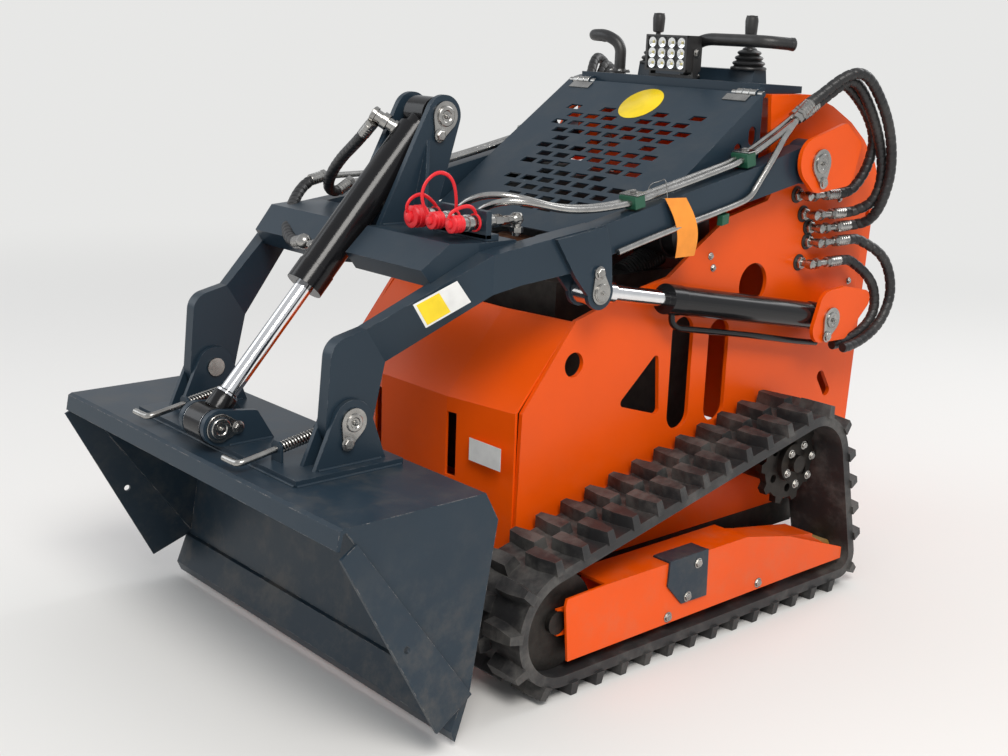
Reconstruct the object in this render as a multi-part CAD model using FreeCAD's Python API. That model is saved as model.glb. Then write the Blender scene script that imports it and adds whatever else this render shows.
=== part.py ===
import FreeCAD, Part
import math
import os

# Walk-behind tracked mini loader with a dumped bucket. The front faces -Y, +X is the
# machine's left, +Z is up, and the origin lies on the ground under the middle of its box.
# Side-view places are (y, z) pairs in millimetres, measured from the body's own datum.

V = FreeCAD.Vector
DATUM_Y = 84.5
LEFT = 1
RIGHT = -1
SIDES = ((LEFT, "left"), (RIGHT, "right"))

# Side-view pivots
ARM_PIVOT = (418.0, 1004.0)
LIFT_BASE = (513.0, 638.0)
LIFT_EYE = (-249.0, 777.0)
TILT_BASE = (-395.0, 1097.0)
TILT_EYE = (-908.0, 530.0)
BUCKET_PIVOT = (-762.0, 572.0)

# Running fit of a pin in its bore
FIT = 0.05

# Body
BODY_X = 306.0
BODY_PLATE = 10.0
BODY_Z0 = 174.0
FLANGE_X = BODY_X - BODY_PLATE
FRONT_Y = -414.0
CORNER_Y = -388.0
CORNER_X = 112.0
FOLD_Z = 532.0
NOSE = (-242.0, 706.0)
REAR_Y = 748.0

# Arms
ARM_IN = BODY_X + 16.0
ARM_OUT = ARM_IN + 44.0
ARM_MID = 0.5 * (ARM_IN + ARM_OUT)
LEG_IN = 231.0
LEG_OUT = LEG_IN + 28.0
EAR_IN = ARM_OUT + 12.0
EAR_OUT = EAR_IN + 10.0
PIN_END = EAR_OUT + 6.0
PIVOT_R = 22.0
LIFT_PIN_R = 19.0

# Cylinders
LIFT_BARREL_R = 31.0
LIFT_ROD_R = 17.0
LIFT_BARREL_L = 545.0
TILT_BARREL_R = 37.0
TILT_ROD_R = 18.0
TILT_BARREL_L = 440.0

# Tracks
TRACK_X = BODY_X + 100.0
BELT_W = 168.0
LUG_W = 180.0
BELT_IN = 10.0
BELT_OUT = 12.0
LUG_H = 26.0
LINKS = 36
SPROCKET = (366.0, 325.0)
FRONT_IDLER = (-408.0, 150.65)
REAR_IDLER = (502.0, 78.65)
SPROCKET_R = 112.0
FRONT_R = 112.0
REAR_R = 40.0

MOTOR_R = 60.0
SEAT = 0.3

# Bucket
BUCKET_X = 523.0
BUCKET_SIDE = 6.0
BUCKET_PLATE = 8.0
WALL_TOP = 480.0
LIP_Y = -948.0
WALL_END = -650.0
FLOOR_REAR = (-613.0, 424.0)
FLOOR_LOW = (-668.0, 100.0)
EDGE_TIP = (-699.0, 12.0)


def at(x, p):
    """Point at lateral x and side-view place p."""
    return V(x, p[0] + DATUM_Y, p[1])


def prism(points, x0, x1):
    """Side-view outline, extruded from x0 to x1."""
    wire = Part.makePolygon([at(x0, p) for p in points] + [at(x0, points[0])])
    return Part.Face(wire).extrude(V(x1 - x0, 0, 0))


def pin(p, r, x0, x1):
    """Round bar along X at side-view place p."""
    low = min(x0, x1)
    return Part.makeCylinder(r, abs(x1 - x0), at(low, p), V(1, 0, 0))


def block(x0, x1, y0, y1, z0, z1):
    low = V(min(x0, x1), y0 + DATUM_Y, z0)
    return Part.makeBox(abs(x1 - x0), y1 - y0, z1 - z0, low)


def plate(corners, thickness):
    """Flat plate over (x, y, z) corners; the thickness goes along their normal."""
    pts = [V(x, y + DATUM_Y, z) for x, y, z in corners]
    normal = (pts[1] - pts[0]).cross(pts[2] - pts[0])
    normal.normalize()
    return Part.Face(Part.makePolygon(pts + [pts[0]])).extrude(normal * thickness)


def tangents(circles):
    """Leaving angle at each circle (y, z, r) of a counter-clockwise loop round them."""
    angles = []
    for i, (y0, z0, r0) in enumerate(circles):
        y1, z1, r1 = circles[(i + 1) % len(circles)]
        gap = math.hypot(y1 - y0, z1 - z0)
        angles.append(math.atan2(z1 - z0, y1 - y0) - math.acos((r0 - r1) / gap))
    return angles


def on_circle(x, circle, angle):
    y, z, r = circle
    return at(x, (y + r * math.cos(angle), z + r * math.sin(angle)))


def loop_face(x, circles):
    """Face inside a loop round circles in counter-clockwise order; r = 0 is a sharp corner."""
    leave = tangents(circles)
    edges = []
    for i, circle in enumerate(circles):
        enter = leave[i - 1]
        turn = (leave[i] - enter) % (2 * math.pi)
        first = on_circle(x, circle, enter)
        last = on_circle(x, circle, enter + turn)
        if circle[2] > 0:
            middle = on_circle(x, circle, enter + turn / 2)
            edges.append(Part.Arc(first, middle, last).toShape())
        after = on_circle(x, circles[(i + 1) % len(circles)], leave[i])
        edges.append(Part.LineSegment(last, after).toShape())
    return Part.Face(Part.Wire(edges))


def rounded(circles, x0, x1):
    """Plate bounded by a loop round circles, extruded from x0 to x1."""
    return loop_face(x0, circles).extrude(V(x1 - x0, 0, 0))


def fuse(*shapes):
    return shapes[0].multiFuse(list(shapes[1:])).removeSplitter()


def mirrored(shape, side):
    return shape if side == LEFT else shape.mirror(V(0, 0, 0), V(1, 0, 0))


def between(p, q, t):
    """Place at distance t from p towards q."""
    gap = math.hypot(q[0] - p[0], q[1] - p[1])
    return (p[0] + (q[0] - p[0]) * t / gap, p[1] + (q[1] - p[1]) * t / gap)


def rod(x, p, q, r):
    """Round bar in the side view's plane from p to q."""
    axis = at(x, q) - at(x, p)
    return Part.makeCylinder(r, axis.Length, at(x, p), axis)


def pipe(points, r):
    """Round tube of radius r along (x, y, z) points, with a tangent arc at each inner point."""
    pts = [V(x, y + DATUM_Y, z) for x, y, z in points]
    start = pts[0]
    edges = []
    for i in range(1, len(pts) - 1):
        back = pts[i - 1] - pts[i]
        on = pts[i + 1] - pts[i]
        half = 0.5 * back.getAngle(on)
        if half > math.radians(89.5):
            continue
        cut = 0.45 * min(back.Length, on.Length)
        back.normalize()
        on.normalize()
        first = pts[i] + back * cut
        last = pts[i] + on * cut
        bisector = back + on
        bisector.normalize()
        radius = cut * math.tan(half)
        middle = pts[i] + bisector * (math.hypot(cut, radius) - radius)
        edges.append(Part.LineSegment(start, first).toShape())
        edges.append(Part.Arc(first, middle, last).toShape())
        start = last
    edges.append(Part.LineSegment(start, pts[-1]).toShape())
    path = Part.Wire(edges)
    ring = Part.Wire(Part.makeCircle(r, pts[0], pts[1] - pts[0]))
    return path.makePipeShell([ring], True, False)


NODES = []


def save(name, shape):
    """Write one node's STEP file and note its size."""
    if not shape.isValid() or not shape.Solids:
        raise ValueError(name + " isn't a sound solid")
    shape.exportStep("parts/%s.step" % name)
    NODES.append((name, shape))


# Body

SIDE_OUTLINE = [
    (CORNER_Y, BODY_Z0), (620, BODY_Z0), (700, 250), (714, 360), (712, 520), (735, 872),
    (793, 908), (752, 985), (697, 1042), (638, 1084), (560, 1122), (473, 1149), (328, 1150),
    (340, 1028), (372, 952), (345, 916), (216, 888), (133, 838), (30, 770), (-120, 742), NOSE,
    (-379, FOLD_Z),
]


REAR_POST = [(664, 236), (REAR_Y - 6.3, 236), (REAR_Y - 0.3, 348), (REAR_Y + 7.7, 520), (REAR_Y + 24, 852),
             (700, 852), (680, 520), (664, 348)]


# Hose holes in the side plate
FITTINGS = ((450, 924), (480, 878), (505, 846), (504, 812), (480, 764))


def slot(y, z0, z1, r):
    """Cutter for an upright round-ended slot."""
    return rounded([(y, z0 + r, r), (y, z1 - r, r)], FLANGE_X - 1, BODY_X + 1)


def side_plate():
    """Big side wall with its window, slots, holes and hose holes."""
    wall = fuse(prism(SIDE_OUTLINE, FLANGE_X, BODY_X), prism(REAR_POST, FLANGE_X - 46, FLANGE_X + 0.1))
    window = rounded([(4, 592, 10), (-88, 511, 10), (14, 480, 10)], FLANGE_X - 1, BODY_X + 1)
    low_slot = rounded([(640, 430, 14), (612, 470, 14)], FLANGE_X - 1, BODY_X + 1)
    cuts = [window, low_slot, slot(87, 424, 678, 35), slot(210, 423, 660, 35)]
    holes = [((-242, 615), 26), ((317, 727), 49), (ARM_PIVOT, PIVOT_R + FIT), (LIFT_BASE, LIFT_PIN_R + FIT),
             (SPROCKET, MOTOR_R + SEAT)] + [(p, 11) for p in FITTINGS]
    cuts += [pin(p, r, FLANGE_X - 1, BODY_X + 1) for p, r in holes]
    return wall.cut(cuts)


PLATE_T = 6.0


def front_block(shift, extra):
    """Solid behind the folded front's outer faces, moved back by shift and grown by extra."""
    reach = FLANGE_X - 0.5
    slope = (CORNER_Y - FRONT_Y) / (reach - CORNER_X)
    lean = (NOSE[0] - CORNER_Y) / (NOSE[1] - 4 - FOLD_Z)
    wide = reach + extra

    def plan(z, y):
        edge = y + slope * extra
        middle = y + FRONT_Y - CORNER_Y
        pts = [(-wide, edge), (-CORNER_X, middle), (CORNER_X, middle), (wide, edge), (wide, 0), (-wide, 0)]
        corners = [V(x, b + shift + DATUM_Y, z) for x, b in pts]
        return Part.makePolygon(corners + [corners[0]])

    top = NOSE[1] - 4 + extra
    low = Part.makeLoft([plan(BODY_Z0 - extra, CORNER_Y), plan(FOLD_Z, CORNER_Y)], True, True)
    high = Part.makeLoft([plan(FOLD_Z, CORNER_Y), plan(top, NOSE[0] + lean * extra)], True, True)
    return low.fuse(high)


def front_panel():
    """Folded front: low middle, two corner facets and the sloped facets above the fold."""
    shell = front_block(0, 0).cut(front_block(PLATE_T, 5))
    gap = block(CORNER_X, CORNER_X + 28, FRONT_Y - 20, FRONT_Y + 60, 363, 500)
    return shell.cut([gap, mirrored(gap, RIGHT)]).removeSplitter()


def rear_plate():
    """Leaning rear door, closed down to the belly."""
    outline = [(REAR_Y - 6, 236), (REAR_Y, 348), (REAR_Y + 8, 520), (REAR_Y + 26, 870), (REAR_Y + 40, 870),
               (REAR_Y + 22, 520), (REAR_Y + 14, 348), (REAR_Y + 8, 236)]
    return prism(outline, -290, 290)


def rear_cover():
    """Bent sheet over the arch of the two side plates."""
    outline = [(473, 1149), (560, 1122), (638, 1084), (697, 1042), (752, 985), (793, 908)]
    inner = [(y - 3, z - 7) for y, z in reversed(outline)]
    return prism([(330, 1150)] + outline + inner + [(330, 1142)], -(FLANGE_X - 0.3), FLANGE_X - 0.3)


def arm_ear():
    """Outer D-shaped ear at the arm's pivot, tied to the side plate behind the arm."""
    ear = rounded([(398, 1010, 52), (418, 978, 40), (520, 978, 30), (550, 1036, 18), (500, 1070, 20)],
                  EAR_IN, EAR_OUT)
    web = prism([(500, 955), (514, 951), (566, 1008), (556, 1018)], BODY_X, EAR_IN + 1)
    return fuse(ear, web).cut(pin(ARM_PIVOT, PIVOT_R + FIT, BODY_X - 1, EAR_OUT + 1))


def lift_ear():
    """Outer ear at the lift cylinder's rear pin, tied to the side plate."""
    ear = rounded([(482, 620, 34), (570, 604, 20), (640, 672, 24), (560, 684, 28), (506, 668, 40)],
                  EAR_IN, EAR_OUT)
    web = prism([(600, 596), (612, 600), (655, 668), (644, 676)], BODY_X, EAR_IN + 1)
    return fuse(ear, web).cut(pin(LIFT_BASE, LIFT_PIN_R + FIT, BODY_X - 1, EAR_OUT + 1))


def kept_pin(p, r, x0, x1, toward):
    """Pin with a round head plate, its teardrop keeper and the keeper's bolt."""
    bar = pin(p, r, x0, x1)
    tail = between(p, toward, r + 22)
    keeper = rounded(ccw_pair(p, r + 10, tail, 10), EAR_OUT + 0.3, EAR_OUT + 5)
    bolt = pin(tail, 7, EAR_OUT + 0.3, EAR_OUT + 12)
    return fuse(bar, keeper, bolt)


def ccw_pair(p, rp, q, rq):
    return [(p[0], p[1], rp), (q[0], q[1], rq)]


def chassis_pins():
    """Arm pivot pin and lift cylinder's rear pin, held by keepers on the outer ears."""
    upper = kept_pin(ARM_PIVOT, PIVOT_R, BODY_X - 24, PIN_END, (440, 900))
    lower = kept_pin(LIFT_BASE, LIFT_PIN_R, BODY_X - 24, PIN_END, (480, 560))
    return Part.Compound([upper, lower])


HOOD_TOP = (300.0, 1152.0)
HOOD_LOW = (-130.0, 851.0)
HOOD_X = 306.0
HOOD_T = 4.0
HINGE = (304.0, 1150.0)
HINGE_R = 6.0
KNUCKLE_X = (232.0, 288.0)


def hood_frame():
    """Corner, fall-line direction (uphill) and outward normal of the hood's sheet."""
    run = V(0, HOOD_TOP[0] - HOOD_LOW[0], HOOD_TOP[1] - HOOD_LOW[1])
    run.normalize()
    return at(0, HOOD_LOW), run, V(0, -run.z, run.y)


def hood():
    """Sloped sheet with side flanges over the engine, hung at its top edge."""
    origin, run, normal = hood_frame()
    length = math.dist(HOOD_TOP, HOOD_LOW)
    corners = ((-HOOD_X, 0), (HOOD_X, 0), (HOOD_X, length), (-HOOD_X, length))
    pts = [origin + V(x, 0, 0) + run * v for x, v in corners]
    sheet = Part.Face(Part.makePolygon(pts + [pts[0]])).extrude(normal * -HOOD_T)
    outline = [(299, 1148), (299, 985), (-60, 872), (-126, 851)]
    flange = prism(outline, HOOD_X - 5, HOOD_X)
    flange = flange.cut([rounded([(y, z0, 13), (y, z0 + 15, 13)], HOOD_X - 6, HOOD_X + 1)
                         for y, z0 in ((272, 1054), (226, 1018))])
    skin = fuse(sheet, flange, mirrored(flange, RIGHT)).cut(hood_slots())
    for s in (LEFT, RIGHT):
        skin = skin.cut(pin(HINGE, 12.5, s * (KNUCKLE_X[0] - 2), s * (KNUCKLE_X[1] + 2)))
        skin = skin.fuse(pin(HINGE, HINGE_R, s * (KNUCKLE_X[0] - 16), s * (HOOD_X - 2)))
    return skin.removeSplitter()


SLOT_X = 55.8
SLOT_ROW = 29.5
SLOT_TOP = 420.0
# Half pitches from the middle at which each row has a slot, from the top row down
SLOTS = (
    (-7, -3, 3, 7), (-6, -4, -2, 2, 4, 6), (-7, -5, -3, -1, 1, 3, 5, 7), (-6, -4, -2, 0, 2, 4, 6),
    (-5, -1, 1, 5), (-6, -4, -2, 0, 2, 4, 6), (-5, -3, -1, 1, 3, 5), (-6, -4, -2, 2, 4, 6), (-3, -1, 1, 3),
    (-6, -4, -2, 0, 2, 4, 6), (-5, -3, -1, 1, 3, 5), (-4, -2, 0, 2, 4), (-1, 1),
)


def hood_slots():
    """Cutters for the staggered field of slanted slots in the hood's sheet."""
    origin, run, normal = hood_frame()
    corners = ((-24, -8.5), (17, -8.5), (24, 8.5), (-17, 8.5))
    cuts = []
    for row, places in enumerate(SLOTS):
        for k in places:
            c = origin + run * (SLOT_TOP - row * SLOT_ROW) + V(0.5 * k * SLOT_X, 0, 0) + normal * 8
            pts = [c + V(a, 0, 0) + run * b for a, b in corners]
            cuts.append(Part.Face(Part.makePolygon(pts + [pts[0]])).extrude(normal * -20))
    return cuts


def console():
    """Control deck behind the hood with its raised back."""
    deck = prism([(318, 1150.3), (470, 1150.3), (470, 1166), (318, 1172)], -280, 280)
    step = prism([(412, 1160), (468, 1160), (462, 1196), (418, 1196)], -180, 180)
    knuckles = []
    for s in (LEFT, RIGHT):
        a, b = sorted((s * KNUCKLE_X[0], s * KNUCKLE_X[1]))
        knuckles.append(rounded([(HINGE[0], HINGE[1], 10), (322, 1151.3, 1), (322, 1160, 4)], a, b))
    bores = pin(HINGE, HINGE_R + FIT, -HOOD_X, HOOD_X)
    return fuse(deck, step, *knuckles).cut(bores)


HANDLE_R = 14.0
HANDLES = (
    [(8, 392, 1170), (8, 392, 1240), (60, 380, 1262), (230, 384, 1262), (262, 440, 1258)],
    [(-222, 392, 1170), (-222, 392, 1240), (-262, 380, 1262), (-320, 384, 1260), (-330, 440, 1258)],
)


def handlebars():
    """Two padded hand rests on posts."""
    return Part.Compound([pipe(points, HANDLE_R) for points in HANDLES])


STICKS_X = (150.0, -138.0)
STICK_Y = 434.0
STICK_TOP = 1318.0
BOOT_Z = 1196.3
BOOT_H = 46.0
KNOB_H = 44.0


def control_levers():
    """Two control levers, each with its boot, stem and knob."""
    levers = []
    for x in STICKS_X:
        boot = Part.makeCone(34, 14, BOOT_H, at(x, (STICK_Y, BOOT_Z)))
        low = BOOT_Z + BOOT_H - 10
        stem = Part.makeCylinder(6, STICK_TOP - 5 - low, at(x, (STICK_Y, low)))
        knob = Part.makeCylinder(13, KNOB_H, at(x, (STICK_Y, STICK_TOP - KNOB_H)))
        levers.append(fuse(boot, stem, knob))
    return Part.Compound(levers)


LAMP_X = (-66.0, 62.0)
LAMP_Y = (322.0, 366.0)
LAMP_Z = (1186.0, 1268.0)
LAMP_FOOT_Z = 1171.6


def work_lamp():
    """Square lamp head in its U-shaped bracket on a foot."""
    head = block(*LAMP_X, *LAMP_Y, *LAMP_Z)
    middle = 0.5 * (LAMP_Z[0] + LAMP_Z[1])
    y0, y1 = LAMP_Y[0] + 14, LAMP_Y[1] - 12
    cheeks = [block(x, x + 5, y0, y1, LAMP_FOOT_Z, middle + 12) for x in (LAMP_X[0] - 5, LAMP_X[1])]
    foot = block(LAMP_X[0] - 5, LAMP_X[1] + 5, y0, y1, LAMP_FOOT_Z, LAMP_FOOT_Z + 6)
    return fuse(head, foot, *cheeks)


def engine():
    """Engine with its air cleaner, one plain heavy mass at its real place."""
    return block(-210, 190, -190, 290, 300, 760)


def engine_bed():
    """Cross rails that carry the engine between the side plates."""
    rails = [block(-FLANGE_X + 0.3, FLANGE_X - 0.3, y, y + 60, 252, 299.7) for y in (-160, 200)]
    return Part.Compound(rails)


FITTING_X = 340.0
NECK = 72.0
CRIMP = 112.0
HOSE_R = 11.0


def hose_fittings():
    """Five elbow fittings in the side plate's hose holes, their crimps pointing back."""
    out = []
    for p in FITTINGS:
        neck = pin(p, 8, FLANGE_X - 12, FITTING_X)
        nut = pin(p, 13.5, BODY_X + SEAT, BODY_X + 12)
        tube = Part.makeCylinder(8, NECK + 1, at(FITTING_X, p), V(0, 1, 0))
        crimp = Part.makeCylinder(11.5, CRIMP - NECK, at(FITTING_X, (p[0] + NECK, p[1])), V(0, 1, 0))
        out.append(fuse(neck, nut, tube, crimp, Part.makeSphere(8, at(FITTING_X, p))))
    return Part.Compound(out)


# Hose routes from their free ends to the crimps, given as the points before each fitting
HOSES = (
    [(354, 458, 1158), (358, 512, 1182), (366, 560, 1150), (368, 612, 1105), (368, 648, 1050), (362, 640, 985),
     (346, 618, 936), (FITTING_X, 590, 924)],
    [(378, 452, 1190), (388, 500, 1194), (392, 564, 1147), (394, 626, 1059), (394, 658, 970), (384, 648, 904),
     (346, 626, 880), (FITTING_X, 612, 878)],
    [(404, 448, 1200), (412, 500, 1212), (418, 557, 1172), (420, 626, 1085), (420, 653, 986), (410, 642, 905),
     (376, 648, 858), (FITTING_X, 638, 846)],
    [(396, 560, 566), (398, 600, 566), (402, 690, 602), (404, 728, 665), (402, 722, 724), (386, 702, 778),
     (FITTING_X + 2, 660, 811), (FITTING_X, 636, 812)],
    [(368, 556, 568), (370, 590, 570), (373, 644, 582), (376, 696, 614), (376, 710, 656), (374, 686, 716),
     (FITTING_X + 2, 636, 762), (FITTING_X, 612, 764)],
)


def hoses():
    """Hydraulic hoses that hang in loops round the rear corner."""
    ends = [(FITTING_X, y + CRIMP + SEAT, z) for y, z in FITTINGS]
    return Part.Compound([pipe(points + [end], HOSE_R) for points, end in zip(HOSES, ends)])


# Undercarriage

LOOP = [(FRONT_IDLER[0], FRONT_IDLER[1], FRONT_R), (REAR_IDLER[0], REAR_IDLER[1], REAR_R),
        (SPROCKET[0], SPROCKET[1], SPROCKET_R)]


def widened(circles, extra):
    return [(y, z, r + extra) for y, z, r in circles]


def loop_spans(circles):
    """Runs of the loop as (length, kind, data) in travel order, an arc and then a line."""
    leave = tangents(circles)
    spans = []
    for i, (y, z, r) in enumerate(circles):
        turn = (leave[i] - leave[i - 1]) % (2 * math.pi)
        spans.append((r * turn, "arc", (y, z, r, leave[i - 1])))
        y1, z1, r1 = circles[(i + 1) % len(circles)]
        c, s = math.cos(leave[i]), math.sin(leave[i])
        start = (y + r * c, z + r * s)
        end = (y1 + r1 * c, z1 + r1 * s)
        spans.append((math.dist(start, end), "line", (start, end, leave[i])))
    return spans


def place_on(spans, s):
    """Place and outward angle at distance s along the loop."""
    s %= sum(span[0] for span in spans)
    for length, kind, data in spans:
        if s <= length:
            break
        s -= length
    if kind == "arc":
        y, z, r, first = data
        angle = first + s / r
        return (y + r * math.cos(angle), z + r * math.sin(angle)), angle
    start, end, angle = data
    return between(start, end, s), angle


def lug(spans, s, x_in, x_out):
    """One tread lug as a tapered block, its outer end chamfered."""
    (y, z), angle = place_on(spans, s)
    out = V(0, math.cos(angle), math.sin(angle))
    along = V(0, -math.sin(angle), math.cos(angle))
    across = V(1 if x_out > x_in else -1, 0, 0)
    centre = at(x_in, (y, z))
    reach = abs(x_out - x_in)
    wires = []
    for height, trim in ((BELT_OUT - 3, 0), (BELT_OUT + LUG_H, 5)):
        shape = ((0, -19 + trim), (reach * 0.45, -19 + trim), (reach - trim, -10 + trim * 0.4),
                 (reach - trim, 10 - trim * 0.4), (reach * 0.45, 19 - trim), (0, 19 - trim))
        pts = [centre + across * a + along * b + out * height for a, b in shape]
        wires.append(Part.makePolygon(pts + [pts[0]]))
    return Part.makeLoft(wires, True, True)


def track(spans):
    """Closed rubber belt with two staggered rows of lugs."""
    x0, x1 = TRACK_X - BELT_W / 2, TRACK_X + BELT_W / 2
    belt = rounded(widened(LOOP, BELT_OUT), x0, x1).cut(rounded(widened(LOOP, -BELT_IN), x0 - 1, x1 + 1))
    pitch = sum(span[0] for span in spans) / LINKS
    lugs = []
    for i in range(LINKS):
        lugs.append(lug(spans, i * pitch, TRACK_X + 6, TRACK_X + LUG_W / 2))
        lugs.append(lug(spans, (i + 0.5) * pitch, TRACK_X - 6, TRACK_X - LUG_W / 2))
    return belt.multiFuse(lugs)


TEETH = 10


def sprocket():
    """Toothed drive plate with lightening holes and its hub motor behind."""
    disc = pin(SPROCKET, SPROCKET_R - BELT_IN - 14, TRACK_X - 9, TRACK_X + 9)
    teeth = []
    for i in range(TEETH):
        angle = 2 * math.pi * i / TEETH
        out = (math.cos(angle), math.sin(angle))
        side = (-out[1], out[0])
        pts = [(SPROCKET[0] + out[0] * a + side[0] * b, SPROCKET[1] + out[1] * a + side[1] * b)
               for a, b in ((80, -17), (101.2, -9), (101.2, 9), (80, 17))]
        teeth.append(prism(pts, TRACK_X - 9, TRACK_X + 9))
    hub = pin(SPROCKET, 46, TRACK_X + 8, TRACK_X + 22)
    cap = pin(SPROCKET, 20, TRACK_X + 20, TRACK_X + 37)
    motor = pin(SPROCKET, MOTOR_R, FLANGE_X - 30, TRACK_X - 8)
    holes = [pin((SPROCKET[0] + 64 * math.cos(a), SPROCKET[1] + 64 * math.sin(a)), 10,
                 TRACK_X - 7.9, TRACK_X + 10) for a in (math.pi * (2 * k + 1) / 6 for k in range(6))]
    return fuse(disc, hub, cap, motor, *teeth).cut(holes)


def idler(p, r, half, axle_r):
    """Belt wheel on its axle, which ends in the track frame."""
    rim = pin(p, r, TRACK_X - half, TRACK_X + half)
    axle = pin(p, axle_r, TRACK_X - half - 16, TRACK_X + half + 12)
    return fuse(rim, axle)


ROLLER_R = 34.0
ROLLERS_Y = (-230, -95, 40, 175, 310)


def track_frame():
    """Beam inside the loop, its arms to the wheels, its rollers and its ties to the body."""
    outline = [(-330, 100), (440, 96), (440, 140), (250, 172), (-250, 176), (-330, 160)]
    beam = prism(outline, TRACK_X - 40, TRACK_X + 40)
    low = REAR_IDLER[1] - REAR_R + BELT_IN + SEAT + ROLLER_R
    rollers = [pin((y, low), ROLLER_R, TRACK_X - 36, TRACK_X + 36) for y in ROLLERS_Y]
    front = [prism([(-408, 122), (-300, 112), (-300, 176), (-408, 178)], TRACK_X + s * 52 - 4, TRACK_X + s * 52 + 4)
             for s in (LEFT, RIGHT)]
    yoke = block(TRACK_X - 56, TRACK_X + 56, -306, -290, 116, 172)
    rear = [prism([(420, 100), (514, 66), (514, 92), (430, 138)], TRACK_X + s * 36 - 4, TRACK_X + s * 36 + 4)
            for s in (LEFT, RIGHT)]
    ties = [block(BODY_X + SEAT, TRACK_X - 38, y, y + 70, 178 - 40, 194 - 40) for y in (-190, 120)]
    stands = [block(TRACK_X - 16, TRACK_X + 30, y, y + 40, 160, 202 - SEAT) for y in (-210, 60)]
    return fuse(beam, yoke, *rollers, *front, *rear, *ties, *stands)


COVER_OUT = TRACK_X + 74.0
COVER_T = 6.0


def track_cover():
    """Folded guard plate over the rollers, with a rounded top bend and a tapering tail."""
    face = [(-392, 70), (346, 73), (514, 72), (514, 100), (300, 176), (150, 208), (-291, 208), (-400, 204),
            (-404, 190)]
    outer = prism(face, COVER_OUT - COVER_T, COVER_OUT)
    shelf_in = TRACK_X - 22
    shelf = prism([(-291, 202), (150, 202), (150, 208), (-291, 208)], shelf_in, COVER_OUT - COVER_T)
    tail = prism([(150, 202), (300, 170), (300, 176), (150, 208)], shelf_in + 30, COVER_OUT - COVER_T)
    return fuse(outer, shelf, tail)


# Arms

ARM_OUTLINE = [
    (430, 1050), (398, 1045), (235, 1004), (71, 972), (-239, 908), (-362, 893), (-520, 872),
    (-520, 798), (-451, 809), (-325, 820), (-221, 846), (34, 890), (172, 922), (385, 962), (430, 958),
]
SEAM_TOP = (-520.0, 872.0)
SEAM_LOW = (-520.0, 798.0)
KNEE_TOP = (-727.0, 738.0)
KNEE_LOW = (-684.0, 672.0)
LEG_LOOP = [BUCKET_PIVOT + (52,), KNEE_LOW + (0,), KNEE_TOP + (0,), (-766, 690, 38)]


def arm():
    """Box arm with pivot boss, converging knee, flat leg and the lift pin's two gussets."""
    beam = prism(ARM_OUTLINE, ARM_IN, ARM_OUT)
    eye = pin(ARM_PIVOT, 50, ARM_IN, ARM_OUT)
    boss = pin(ARM_PIVOT, 36, BODY_X + 2, EAR_IN - 2)
    root = Part.makePolygon([at(ARM_IN, SEAM_TOP), at(ARM_OUT, SEAM_TOP), at(ARM_OUT, SEAM_LOW),
                             at(ARM_IN, SEAM_LOW), at(ARM_IN, SEAM_TOP)])
    end = Part.makePolygon([at(LEG_IN, KNEE_TOP), at(LEG_OUT, KNEE_TOP), at(LEG_OUT, KNEE_LOW),
                            at(LEG_IN, KNEE_LOW), at(LEG_IN, KNEE_TOP)])
    knee = Part.makeLoft([root, end], True, True)
    leg = rounded(LEG_LOOP, LEG_IN, LEG_OUT)
    outline = [(-372, 890), (-240, 906), (-222, 846), (-216, 778), (-249, 744), (-282, 772), (-318, 812)]
    gussets = []
    for x0, x1 in ((ARM_IN - 9, ARM_IN), (ARM_OUT, ARM_OUT + 10)):
        gussets.append(fuse(prism(outline, x0, x1), pin(LIFT_EYE, 35, x0, x1)))
    whole = fuse(beam, eye, boss, knee, leg, *gussets)
    return whole.cut([pin(ARM_PIVOT, PIVOT_R + FIT, BODY_X - 1, EAR_OUT),
                      pin(BUCKET_PIVOT, LIFT_PIN_R + FIT, LEG_IN - 1, LEG_OUT + 1)])


def lift_front_pin():
    """Stub pins, one on each gusset's outer face, over the lift rod's eye."""
    out = pin(LIFT_EYE, 17, ARM_OUT + 10.3, ARM_OUT + 18)
    tail = between(LIFT_EYE, (-262, 840), 40)
    keeper = rounded(ccw_pair(LIFT_EYE, 24, tail, 11), ARM_OUT + 10.3, ARM_OUT + 14)
    bolt = pin(tail, 7, ARM_OUT + 10.3, ARM_OUT + 20)
    return fuse(out, keeper, bolt)


CROSS_OUTLINE = [(-573, 888), (-625, 840), (-600, 806), (-488, 791), (-426, 815), (-414, 840), (-414, 876),
                 (-430, 888)]
EAR_X = 46.0
EAR_T = 12.0


def cross_member():
    """Box between the arms, open in its middle for the tilt cylinder, with the two tall ears."""
    reach = ARM_IN
    whole = prism(CROSS_OUTLINE, -reach, reach)
    channel = block(-EAR_X, EAR_X, -640, -446, 780, 900)
    plan = [(-reach, -400), (-reach, -520), (-282, -630), (282, -630), (reach, -520), (reach, -400)]
    pts = [V(x, y + DATUM_Y, 700) for x, y in plan]
    trim = Part.Face(Part.makePolygon(pts + [pts[0]])).extrude(V(0, 0, 300))
    body = whole.common(trim).cut([channel, arm(), mirrored(arm(), RIGHT)])
    ears = []
    for s in (LEFT, RIGHT):
        x0 = s * EAR_X
        x1 = s * (EAR_X + EAR_T)
        face = [(TILT_BASE[0], TILT_BASE[1], 42), (-548, 884, 6), (-424, 884, 6)]
        ears.append(rounded(face, min(x0, x1), max(x0, x1)))
        root = s * (EAR_X + EAR_T)
        rib = [(root, -470, 886), (s * (EAR_X + 58), -470, 886), (root, -430, 1050)]
        if s == RIGHT:
            rib.reverse()
        ears.append(plate(rib, 8))
    bore = pin(TILT_BASE, PIVOT_R + FIT, -80, 80)
    return fuse(body, *ears).cut(bore)


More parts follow.
